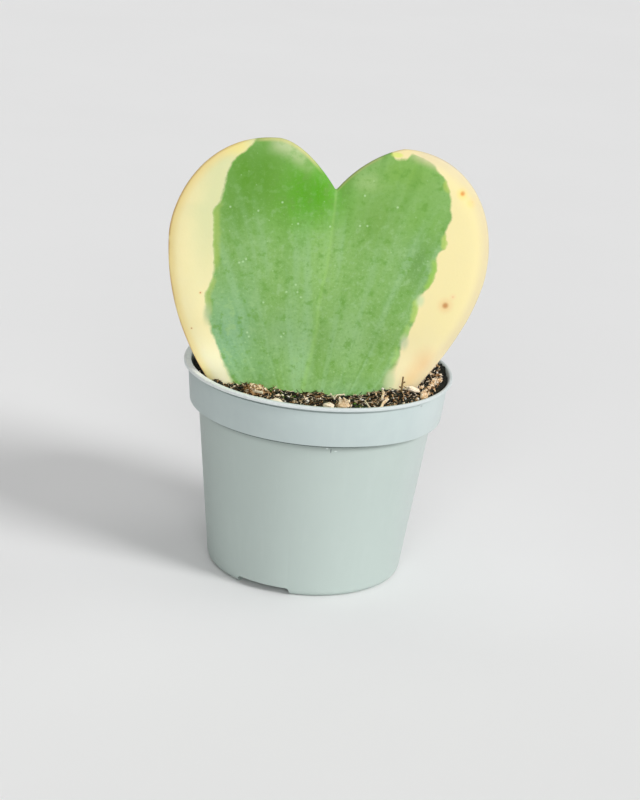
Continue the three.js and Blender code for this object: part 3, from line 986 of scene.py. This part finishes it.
def makeLeaf():
    sheet = leafSheet()
    margins = marginFinder()
    thickenLeaf(sheet, margins)
    shapeLeafFaces(sheet, margins)
    combine(sheet, petiole(), "UNION")
    turn = Matrix.Rotation(math.radians(leaf["yaw"]), 4, "Z")
    shift = Matrix.Translation(Vector((0, -leaf["forward"] * mm, rimHeight * mm)))
    sheet.data.transform(shift @ turn)
    smooth(sheet, 60)
    finishPiece(sheet, leafSkin(), "leaf_skin", "leaf")


makeLeaf()
print("leaf made")


# Potting mix

mix = {
    # A little under the level of the CAD, as the loose grains come on top
    "levelBelowRim": 2.85,
    "clearance": 0.3,
    "wallGap": 0.12,
    "segments": 300,
    "rings": 96,
    # Rise, and its waves along x and y
    "swells": [(0.25, 0.42, 0.38), (0.2, 0.9, -0.7)],
    # Place, rise and spread
    "heaps": [
        (19, -11, 1.7, 6), (27, 9, 2.2, 6), (28, -1, 2.2, 6), (27, -9, 1.8, 4), (-27.5, -1, 1.9, 6),
        (-22, -14, 0.9, 3.5), (-15, -17, 0.5, 5), (3, -12, -0.9, 7), (-8, 14, 0.8, 9),
    ],
    # Height and fineness of the clods, crumbs and bits
    "unevenness": [(0.4, 0.55), (0.28, 1.4), (0.22, 2.9)],
    "patternDepth": 5.6,
    "leafHalfWidth": 25.0,
    # Share of a grain's own size that stays free beside the leaf
    "leafRoom": 0.6,
    "seed": 21,
    # Screen colours from dark to pale, and the shade at which each is reached
    "groundStops": [(0.38, (8, 9, 6)), (0.52, (21, 23, 14)), (0.62, (42, 42, 26)), (0.74, (104, 90, 64))],
}
mixLevel = rimHeight - mix["levelBelowRim"]


def mixHeight(x, y):
    height = mixLevel
    for rise, alongX, alongY in mix["swells"]:
        height += rise * math.sin(alongX * x + alongY * y)
    for atX, atY, rise, spread in mix["heaps"]:
        away = math.hypot(x - atX, y - atY) / spread
        height += rise * math.exp(-away * away)
    for rise, fineness in mix["unevenness"]:
        height += rise * noise.noise(Vector((x, y, mix["patternDepth"] / fineness)) * fineness)
    return height


def innerRadius(height):
    # Inside of the band at a height above the floor
    share = (height - stepLevel) / (rimHeight - stepLevel)
    low = pot["bandFoot"] - pot["wall"]
    return low + (pot["lipInner"] - low) * share


mixEdge = innerRadius(mixLevel) - mix["clearance"]
leafYaw = math.radians(leaf["yaw"])


def leafPlace(x, y):
    # Across the leaf and how far from its middle, at the level of the mix
    forward = y + leaf["forward"]
    across = x * math.cos(leafYaw) + forward * math.sin(leafYaw)
    away = forward * math.cos(leafYaw) - x * math.sin(leafYaw)
    return across, away - leafDepth(across, -mix["levelBelowRim"])


def besideLeaf(across, away):
    # The other way round, back to a place on the mix
    away += leafDepth(across, -mix["levelBelowRim"])
    x = across * math.cos(leafYaw) - away * math.sin(leafYaw)
    y = across * math.sin(leafYaw) + away * math.cos(leafYaw) - leaf["forward"]
    return x, y


def clearOfLeaf(x, y, radius):
    across, away = leafPlace(x, y)
    room = radius * mix["leafRoom"]
    return abs(across) > mix["leafHalfWidth"] + room or abs(away) > leaf["thickness"] / 2 + room


def peatGround():
    material, surface, where = newMaterial("peatGround", 0.3, 0.8)
    colour = ramp(grain(where, 1.6, 5.0, 0.75), mix["groundStops"])
    cover(surface, colour, grain(where, 3.0, 4.0, 0.7), 0.3, 1.0)
    return material


def makeMixBody():
    clearance, wall = mix["clearance"], pot["wall"]
    aboveStep = stepLevel + clearance
    rings = [
        (pot["bodyFoot"] - wall, baseLevel + clearance),
        (pot["bodyTop"] - wall - clearance, aboveStep),
        (innerRadius(aboveStep) - clearance, aboveStep),
        (mixEdge, mixLevel),
    ]
    rings += [(mixEdge * (1 - step / mix["rings"]), mixLevel) for step in range(1, mix["rings"])]
    body = turnedFromRings("mixBody", rings, mix["segments"])
    for vertex in body.data.vertices:
        x, y, z = vertex.co / mm
        if z > mixLevel - 0.01:
            # The outermost rings follow the pot's wall up and down
            height = mixHeight(x, y)
            atWall = (math.hypot(x, y) / mixEdge) ** 12
            spread = 1 + atWall * ((innerRadius(height) - mix["wallGap"]) / mixEdge - 1)
            inward = atWall * nearRim(height)
            x = x * spread + inward * pot["innerShift"][0]
            y = y * spread + inward * pot["innerShift"][1]
            vertex.co = Vector((x, y, height)) * mm
    smooth(body, 50)
    finishPiece(body, peatGround(), "potting_mix", "potting_mix")


makeMixBody()
print("mix body made")


# Loose grains on the mix

grains = {
    "frontShare": 0.5,
    "peatCount": 4800,
    "peatRadius": (0.12, 0.7),
    "barkCount": 1300,
    "barkRadius": (0.1, 0.5),
    "paleShare": 0.38,
    "paleTones": (0.65, 1.05),
    "darkTones": (0.0, 0.35),
    "contactCount": 260,
    "contactRadius": (0.08, 0.22),
    "contactReach": 22,
    "fibreCount": 1300,
    "fibreLength": (0.3, 1.5),
    "fibreRadius": (0.035, 0.075),
    "fibreSteps": 4,
    "fibreBend": 1.2,
    "perliteCount": 60,
    "perliteRadius": (0.12, 0.35),
    "mossCount": 330,
    "mossRadius": (0.12, 0.34),
    # Where moss grows: place and spread
    "mossPlaces": [
        ((8.6, -19.6), 0.9), ((-6.0, -17.4), 0.9), ((-10.4, -16.4), 0.9), ((-21.0, 4.0), 1.2),
        ((10.0, 16.0), 1.4),
    ],
    # Where lighter chips gather: place, spread, count, range of tone, and what they lie over
    "drifts": [
        ((-13.4, -17.8), 1.3, 190, (0.35, 1.0), "bark_flake_left"),
        ((23.5, -13.4), 0.9, 34, (0.55, 1.05), "bark_lump_right"),
        ((5.9, -21.8), 1.0, 34, (0.6, 1.0), "bark_lump_front"),
        ((-10.6, -19.6), 0.9, 12, (0.4, 0.8)),
        ((-17.6, -14.6), 1.3, 20, (0.4, 0.9)),
        ((-2.4, -15.8), 0.5, 10, (0.7, 1.0)),
        ((0.2, -15.6), 0.6, 12, (0.6, 1.0)),
        ((0.8, -22.2), 0.7, 22, (0.5, 0.9)),
        ((5.7, -20.4), 1.1, 30, (0.6, 1.0)),
        ((7.7, -23.4), 0.5, 10, (0.7, 1.0)),
        ((14.2, -15.0), 1.3, 50, (0.5, 1.0)),
        ((17.0, -17.0), 1.2, 24, (0.4, 1.0)),
        ((20.8, -12.5), 1.5, 50, (0.55, 1.0)),
        ((24.0, -9.0), 1.5, 70, (0.5, 1.05)),
        ((25.6, -3.0), 1.8, 80, (0.5, 1.05)),
        ((25.5, 4.5), 2.0, 50, (0.45, 1.05)),
        ((26.4, -8.0), 0.8, 18, (0.5, 1.05)),
        ((27.3, -3.4), 0.7, 22, (0.5, 1.05)),
        ((27.4, 2.0), 0.8, 24, (0.45, 1.0)),
        ((26.8, 7.0), 1.0, 22, (0.4, 0.9)),
        ((-7.6, -18.6), 1.0, 16, (0.6, 1.0)),
        ((-4.2, -19.6), 1.0, 16, (0.6, 1.0)),
    ],
    # Twigs that stand out: both ends, with heights above the level of the mix, radius and tone
    "twigs": [
        ((6.1, -14.4, 0.9), (4.3, -15.4, 0.7), 0.12, 0.95),
        ((4.4, -15.3, 0.7), (3.9, -16.8, 0.9), 0.12, 0.9),
        ((3.0, -14.8, 0.9), (3.9, -18.4, 0.8), 0.16, 0.98),
        ((14.3, -12.2, 1.7), (15.1, -16.0, 0.9), 0.3, 0.85),
        ((13.6, -21.2, 0.5), (15.2, -16.6, 0.9), 0.34, 0.82),
        ((10.5, -17.2, 0.8), (11.9, -21.8, 0.5), 0.2, 0.92),
        ((16.4, -17.0, 0.8), (17.8, -20.0, 0.5), 0.12, 0.75),
        ((17.2, -16.4, 0.8), (18.9, -18.6, 0.5), 0.1, 0.7),
        ((-15.4, -17.8, 0.9), (-11.6, -19.6, 1.0), 0.3, 0.9),
        ((-14.0, -16.4, 1.1), (-10.4, -18.4, 1.2), 0.22, 0.6),
        ((23.0, -8.0, 0.9), (26.2, -5.4, 1.5), 0.24, 0.95),
        ((25.4, -7.6, 0.8), (26.4, -1.6, 1.6), 0.2, 0.9),
    ],
    # Single white beads: place, height above the level of the mix, and radius
    "beads": [
        (-1.8, -21.7, 1.1, 0.32), (14.3, -11.9, 2.05, 0.32), (16.7, -15.7, 1.3, 0.28),
        (19.3, -15.3, 1.4, 0.24),
    ],
    # Screen colours from dark to pale, and the shade at which each is reached
    "peatStops": [(0.2, (9, 10, 7)), (0.55, (24, 27, 17)), (0.8, (46, 48, 30)), (0.97, (108, 96, 66))],
    "barkStops": [
        (0.1, (30, 23, 15)), (0.34, (84, 58, 34)), (0.54, (182, 134, 86)), (0.72, (232, 196, 150)),
        (0.95, (254, 239, 214)),
    ],
    "greenerBark": (0.9, 0.98, 0.94, 1),
    "perliteWhites": ((246, 240, 228), (206, 196, 178)),
    "mossGreens": ((22, 34, 12), (120, 162, 62)),
}


def jaggedLump(name, cuts, seed, unevenness, slices):
    # A ball with uneven corners, sliced flat on a few sides
    bpy.ops.mesh.primitive_ico_sphere_add(subdivisions=cuts, radius=1)
    lump = currentPiece(name)
    draw = random.Random(seed)
    for vertex in lump.data.vertices:
        bumpy = noise.noise(vertex.co * 1.7 + Vector((seed, 0, 0)))
        vertex.co *= 1 + unevenness * bumpy + 0.25 * unevenness * (draw.random() - 0.5)
    for _ in range(slices):
        normal = Vector([draw.uniform(-1, 1) for _ in range(3)]).normalized()
        place = normal * draw.uniform(0.55, 0.8)
        startEdit(lump)
        bpy.ops.mesh.bisect(plane_co=place, plane_no=normal, use_fill=True, clear_outer=True)
        endEdit()
    fixNormals(lump)
    return lump


def woodFibre(name, seed):
    # A thin strand along X from -1 to 1, drawn out in short steps
    draw = random.Random(seed)
    steps, bend = grains["fibreSteps"], grains["fibreBend"]
    bpy.ops.mesh.primitive_circle_add(
        vertices=5, radius=1, fill_type="NGON", rotation=(0, math.pi / 2, 0), location=(-1, 0, 0)
    )
    strand = currentPiece(name)
    startEdit(strand)
    for _ in range(steps):
        step = (2 / steps, draw.uniform(-bend, bend), draw.uniform(-bend, bend))
        bpy.ops.mesh.extrude_region_move(TRANSFORM_OT_translate={"value": step})
    endEdit()
    fixNormals(strand)
    return strand


def scatterCopies(name, shapes, places):
    # Every copy has its own mesh, and all are joined into one piece
    copies = []
    for shape, matrix, tone in places:
        mesh = shapes[shape % len(shapes)].data.copy()
        mesh.transform(matrix)
        copies.append(addObject(name, mesh))
        setTone(copies[-1], tone)
    makeActive(copies[0])
    for copy in copies:
        copy.select_set(True)
    bpy.ops.object.join()
    piece = bpy.context.object
    piece.name = name
    for shape in shapes:
        bpy.data.objects.remove(shape)
    return piece


def placeOnMix(draw, x, y, radii, tone, sink, tilt):
    # Number of the shape, matrix and tone
    turn = Euler((draw.uniform(-tilt, tilt), draw.uniform(-tilt, tilt), draw.uniform(0, 2 * math.pi)))
    height = mixHeight(x, y) + radii[2] * (1 - 2 * sink)
    matrix = (
        Matrix.Translation(Vector((x, y, height)) * mm)
        @ turn.to_matrix().to_4x4()
        @ Matrix.Diagonal((radii[0] * mm, radii[1] * mm, radii[2] * mm, 1))
    )
    return draw.randrange(8), matrix, tone


def raised(place, rise):
    shape, matrix, tone = place
    return shape, Matrix.Translation((0, 0, rise * mm)) @ matrix, tone


def anywhere(draw, radius):
    # A random place clear of the leaf and the pot's wall, and more often in front of the leaf
    front = draw.random() < grains["frontShare"]
    while True:
        distance = (mixEdge - radius) * math.sqrt(draw.random())
        bearing = 2 * math.pi * draw.random()
        x, y = distance * math.cos(bearing), distance * math.sin(bearing)
        if clearOfLeaf(x, y, radius) and (y < -leaf["forward"] or not front):
            return x, y


def around(draw, at, spread, radius):
    # A random place near another, clear of the leaf and the pot's wall
    while True:
        x, y = draw.gauss(at[0], spread), draw.gauss(at[1], spread)
        if math.hypot(x, y) < mixEdge - radius and clearOfLeaf(x, y, radius):
            return x, y


def sizeBetween(draw, limits, power=1):
    # Mostly small sizes when the power is high
    return limits[0] + (limits[1] - limits[0]) * draw.random() ** power


def flake(draw, radius):
    return (radius * 1.4, radius * draw.uniform(0.35, 0.9), radius * draw.uniform(0.2, 0.6))


def peatPlaces(draw):
    places = []
    for _ in range(grains["peatCount"]):
        radius = sizeBetween(draw, grains["peatRadius"], 3)
        x, y = anywhere(draw, radius)
        radii = (radius, radius * draw.uniform(0.4, 0.9), radius * draw.uniform(0.4, 0.8))
        places.append(placeOnMix(draw, x, y, radii, draw.random(), 0.45, 1.0))
    return places


def topOf(node, x, y):
    # Height of the upper side of a rounded node, or 0 beside it
    low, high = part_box(node)
    middle, half = (low + high) / 2 / mm, (high - low) / 2 / mm
    away = ((x - middle.x) / half.x) ** 2 + ((y - middle.y) / half.y) ** 2
    return middle.z + half.z * math.sqrt(1 - away) if away < 1 else 0.0


def barkPlaces(draw):
    places = []
    for _ in range(grains["barkCount"]):
        radius = sizeBetween(draw, grains["barkRadius"], 3)
        x, y = anywhere(draw, radius)
        # Mostly dark, with single pale chips
        pale = draw.random() < grains["paleShare"]
        tone = draw.uniform(*grains["paleTones" if pale else "darkTones"])
        places.append(placeOnMix(draw, x, y, flake(draw, radius), tone, 0.2, 1.2))
    for at, spread, count, tones, *over in grains["drifts"]:
        for _ in range(count):
            radius = sizeBetween(draw, grains["barkRadius"], 1.5)
            x, y = around(draw, at, spread, radius)
            place = placeOnMix(draw, x, y, flake(draw, radius), draw.uniform(*tones), 0.0, 1.2)
            for node in over:
                place = raised(place, max(0.0, topOf(node, x, y) - mixHeight(x, y)))
            places.append(place)
    # Along the foot of the leaf, twice as many in front
    reach = grains["contactReach"]
    for _ in range(grains["contactCount"]):
        radius = sizeBetween(draw, grains["contactRadius"])
        side = draw.choice((-1, -1, 1))
        away = side * (leaf["thickness"] / 2 + radius + draw.uniform(-0.1, 0.5))
        x, y = besideLeaf(draw.uniform(-reach, reach), away)
        places.append(placeOnMix(draw, x, y, flake(draw, radius), draw.uniform(0.5, 1.0), 0.0, 1.2))
    return places


def fibrePlaces(draw):
    places = []
    for _ in range(grains["fibreCount"]):
        half = sizeBetween(draw, grains["fibreLength"], 2)
        radius = sizeBetween(draw, grains["fibreRadius"])
        x, y = anywhere(draw, half * 0.8)
        place = placeOnMix(draw, x, y, (half, radius, radius), draw.random() ** 1.5, 0.5, 0.5)
        places.append(raised(place, draw.uniform(0.1, 0.5)))
    level = Vector((0, 0, mixLevel))
    for index, (first, second, radius, tone) in enumerate(grains["twigs"]):
        start, end = Vector(first) + level, Vector(second) + level
        turn = (end - start).to_track_quat("X", "Z").to_matrix().to_4x4()
        half = (end - start).length / 2
        size = Matrix.Diagonal((half * mm, radius * mm, radius * mm, 1))
        places.append((index, Matrix.Translation((start + end) / 2 * mm) @ turn @ size, tone))
    return places


def perlitePlaces(draw):
    places = []
    tone = 0.9
    for _ in range(grains["perliteCount"]):
        radius = sizeBetween(draw, grains["perliteRadius"])
        x, y = anywhere(draw, radius)
        places.append(placeOnMix(draw, x, y, (radius,) * 3, tone, -0.2, 1.5))
    for x, y, rise, radius in grains["beads"]:
        place = Matrix.Translation(Vector((x, y, mixLevel + rise)) * mm)
        places.append((0, place @ Matrix.Scale(radius * mm, 4), tone))
    return places


def mossTuftPlaces(draw):
    places = []
    for index in range(grains["mossCount"]):
        at, spread = grains["mossPlaces"][index % len(grains["mossPlaces"])]
        radius = sizeBetween(draw, grains["mossRadius"])
        x, y = around(draw, at, spread, radius)
        radii = (radius * 1.5, radius * 0.6, radius * 0.6)
        places.append(placeOnMix(draw, x, y, radii, draw.random(), -0.3, 1.5))
    return places


def peatGrain():
    material, surface, where = newMaterial("peatGrain", 0.45, 0.6)
    shade = calc("ADD", product(readValue(where, "tone"), 0.75), product(mottle(where, 1.0), 0.3))
    cover(surface, ramp(shade, grains["peatStops"]), mottle(where, 0.4), 0.12, 0.8)
    return material


def barkWood():
    material, surface, where = newMaterial("barkWood", 0.2, 0.85)
    tone = readValue(where, "tone")
    worn = calc("SUBTRACT", grain(where, 1.3, 5.0, 0.75), 0.5)
    colour = ramp(calc("ADD", tone, product(worn, 1.2)), grains["barkStops"])
    # More golden at the right, greener at the left, but for the palest chips
    greener = product(fade(partsOf(where)[0], 12.0, -4.0, 0.0, 0.6), fade(tone, 0.97, 0.9))
    colour = blend(greener, colour, grains["greenerBark"], "MULTIPLY")
    cover(surface, colour, mottle(where, 0.5), 0.12, 0.8)
    return material


def perliteStone():
    material, surface, where = newMaterial("perliteStone", 0.3, 0.8)
    pits = mottle(where, 0.4)
    colour = between(fade(pits, 0.55, 0.35, 0.0, 0.6), *grains["perliteWhites"])
    cover(surface, colour, pits, 0.08, 0.7)
    return material


def mossGreen():
    material, surface, where = newMaterial("mossGreen", 0.2, 0.85)
    patches = mottle(where, 0.8)
    fresh = product(fade(patches, 0.35, 0.65), fade(readValue(where, "tone"), 0.3, 1.0))
    cover(surface, between(fresh, *grains["mossGreens"]), patches, 0.1, 0.7)
    return material


def lumpShapes(count, cuts, seed, unevenness, slices):
    return [jaggedLump("grainShape", cuts, seed + index, unevenness, slices) for index in range(count)]


def makeMixGrains(bark):
    draw = random.Random(mix["seed"])
    peat = scatterCopies("peatGrains", lumpShapes(4, 1, 40, 0.5, 2), peatPlaces(draw))
    finishPiece(peat, peatGrain(), "potting_mix")
    chips = scatterCopies("barkCrumbs", lumpShapes(4, 1, 60, 0.35, 4), barkPlaces(draw))
    finishPiece(chips, bark, "bark")
    strands = [woodFibre("fibreShape", 80 + index) for index in range(4)]
    fibres = scatterCopies("coirFibres", strands, fibrePlaces(draw))
    finishPiece(fibres, bark, "potting_mix")
    perlite = scatterCopies("perliteGrains", lumpShapes(3, 2, 90, 0.4, 1), perlitePlaces(draw))
    finishPiece(perlite, perliteStone(), "potting_mix")
    moss = scatterCopies("mossTufts", lumpShapes(3, 1, 100, 0.9, 0), mossTuftPlaces(draw))
    finishPiece(moss, mossGreen(), "potting_mix")


barkMaterial = barkWood()
makeMixGrains(barkMaterial)
print("loose grains made")


# Loose bark, each piece over its own solid: name, node, turn in degrees, tone, seed and slices

looseBark = {
    "cuts": 4,
    "unevenness": 0.35,
    "pieces": [
        ("barkChipRight", "bark_chip_right", 4, 1.02, 3, 3),
        ("barkLumpRight", "bark_lump_right", 30, 0.76, 5, 2),
        ("barkChipFront", "bark_chip_front", -10, 0.98, 7, 1),
        ("barkLumpFront", "bark_lump_front", 25, 0.8, 9, 3),
        ("barkChipLeft", "bark_chip_left", -18, 1.05, 13, 4),
        ("barkFlakeLeft", "bark_flake_left", -24, 0.5, 17, 5),
    ],
}


def makeLooseBark(name, node, turn, tone, seed, slices):
    low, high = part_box(node)
    lump = jaggedLump(name, looseBark["cuts"], seed, looseBark["unevenness"], slices)
    lump.data.transform(Matrix.Rotation(math.radians(turn), 4, "Z"))
    corners = [vertex.co.copy() for vertex in lump.data.vertices]
    # Stretched to fill the node's box
    for axis in range(3):
        least = min(corner[axis] for corner in corners)
        most = max(corner[axis] for corner in corners)
        for vertex, corner in zip(lump.data.vertices, corners):
            share = (corner[axis] - least) / (most - least)
            vertex.co[axis] = low[axis] + share * (high[axis] - low[axis])
    setTone(lump, tone)
    smooth(lump, 30)
    finishPiece(lump, barkMaterial, "bark", node)


for chip in looseBark["pieces"]:
    makeLooseBark(*chip)
print("loose bark made")


# Dry stalk

stalk = {
    "foot": Vector((18.3, -13.0, 43.0)),
    "tip": Vector((18.5, -12.2, 50.0)),
    "radius": 0.3,
    "taper": 0.6,
    "steps": 8,
    # Swelling of every other step
    "knots": (0.9, 1.14),
    "stubLength": 0.6,
    "stubRadius": 0.24,
    "stubSteps": 3,
    # Side, and how far up the stalk
    "stubs": [(-1, 0.64), (1, 0.8)],
    "browns": ((86, 70, 40), (166, 140, 96)),
}


def rod(name, start, end, radius, steps):
    # A round rod that narrows a little and wavers, drawn out from a disc
    direction = end - start
    turn = direction.to_track_quat("Z", "Y").to_euler()
    bpy.ops.mesh.primitive_circle_add(
        vertices=10, radius=radius * mm, fill_type="NGON", location=start * mm, rotation=turn
    )
    piece = currentPiece(name)
    startEdit(piece)
    share = stalk["taper"] ** (1 / steps)
    for step in range(steps):
        bpy.ops.mesh.extrude_region_move(TRANSFORM_OT_translate={"value": direction / steps * mm})
        centre = (start + direction * (step + 1) / steps) * mm
        swell = share * stalk["knots"][step % 2]
        bpy.ops.transform.resize(value=(swell, swell, swell), center_override=centre)
    endEdit()
    fixNormals(piece)
    return piece


def makeStalk():
    material, surface, where = newMaterial("dryStalk", 0.25, 0.85)
    dull = mottle(where, 0.8, 0.6)
    cover(surface, between(fade(dull, 0.35, 0.65), *stalk["browns"]), dull, 0.06, 0.7)
    stem = rod("dryStem", stalk["foot"], stalk["tip"], stalk["radius"], stalk["steps"])
    for side, share in stalk["stubs"]:
        start = stalk["foot"].lerp(stalk["tip"], share)
        end = start + Vector((side * stalk["stubLength"], 0, stalk["stubLength"] / 2))
        combine(stem, rod("stub", start, end, stalk["stubRadius"], stalk["stubSteps"]), "UNION")
    smooth(stem, 50)
    finishPiece(stem, material, "dry_stalk", "dry_stalk")


makeStalk()
print("stalk made")


# Studio: pale floor, soft light from the right front

studio = {
    "floorRadius": 30.0,
    "floorGreys": ((0.84, 0.84, 0.84, 1), (0.87, 0.87, 0.87, 1)),
    # Strength of the sky as a light and as the camera sees it
    "sky": 0.03,
    "skySeen": 0.75,
    # Name, bearing from straight ahead towards the right, height and spread in degrees, and strength
    "lamps": [
        ("keyLight", 60, 32, 20, 1.95),
        ("frontLight", 0, 24, 40, 1.2),
        ("rightLight", 110, 20, 40, 0.4),
        ("topLight", 0, 88, 70, 0.8),
        ("backLight", 205, 28, 80, 0.55),
    ],
}


def makeFloor():
    bpy.ops.mesh.primitive_circle_add(vertices=96, radius=studio["floorRadius"], fill_type="NGON")
    floor = currentPiece("paleFloor")
    material, surface, where = newMaterial("paleFloor", 0.1, 0.9)
    feed(surface.inputs["Base Color"], blend(grain(where, 9.0 * mm), *studio["floorGreys"]))
    # Seen from below, the floor lets the view through
    tree = material.node_tree
    below = addNode(tree, "ShaderNodeNewGeometry").outputs["Backfacing"]
    through = addNode(tree, "ShaderNodeBsdfTransparent").outputs[0]
    both = nextNode("ShaderNodeMixShader", {0: below, 1: surface.outputs[0], 2: through})
    feed(tree.nodes["Material Output"].inputs["Surface"], both.outputs[0])
    floor.data.materials.append(material)


def makeLamp(name, bearing, height, spread, strength):
    data = bpy.data.lights.new(name, "SUN")
    data.angle = math.radians(spread)
    data.energy = strength
    bearing, height = math.radians(bearing), math.radians(height)
    flat = math.cos(height)
    away = Vector((math.sin(bearing) * flat, -math.cos(bearing) * flat, math.sin(height)))
    turn = away.to_track_quat("Z", "Y").to_matrix().to_4x4()
    addObject(name, data).matrix_world = Matrix.Translation(away) @ turn


def makeSky():
    world = bpy.data.worlds.new("softRoom")
    bpy.context.scene.world = world
    world.use_nodes = True
    tree = world.node_tree
    background = tree.nodes["Background"]
    background.inputs["Color"].default_value = (1, 1, 1, 1)
    seen = addNode(tree, "ShaderNodeLightPath").outputs["Is Camera Ray"]
    strength = addNode(tree, "ShaderNodeMapRange", {0: seen, 3: studio["sky"], 4: studio["skySeen"]})
    feed(background.inputs["Strength"], strength.outputs[0])


makeFloor()
for lamp in studio["lamps"]:
    makeLamp(*lamp)
makeSky()
bpy.context.scene.view_settings.view_transform = "Standard"
print("studio made")

bpy.context.view_layer.update()
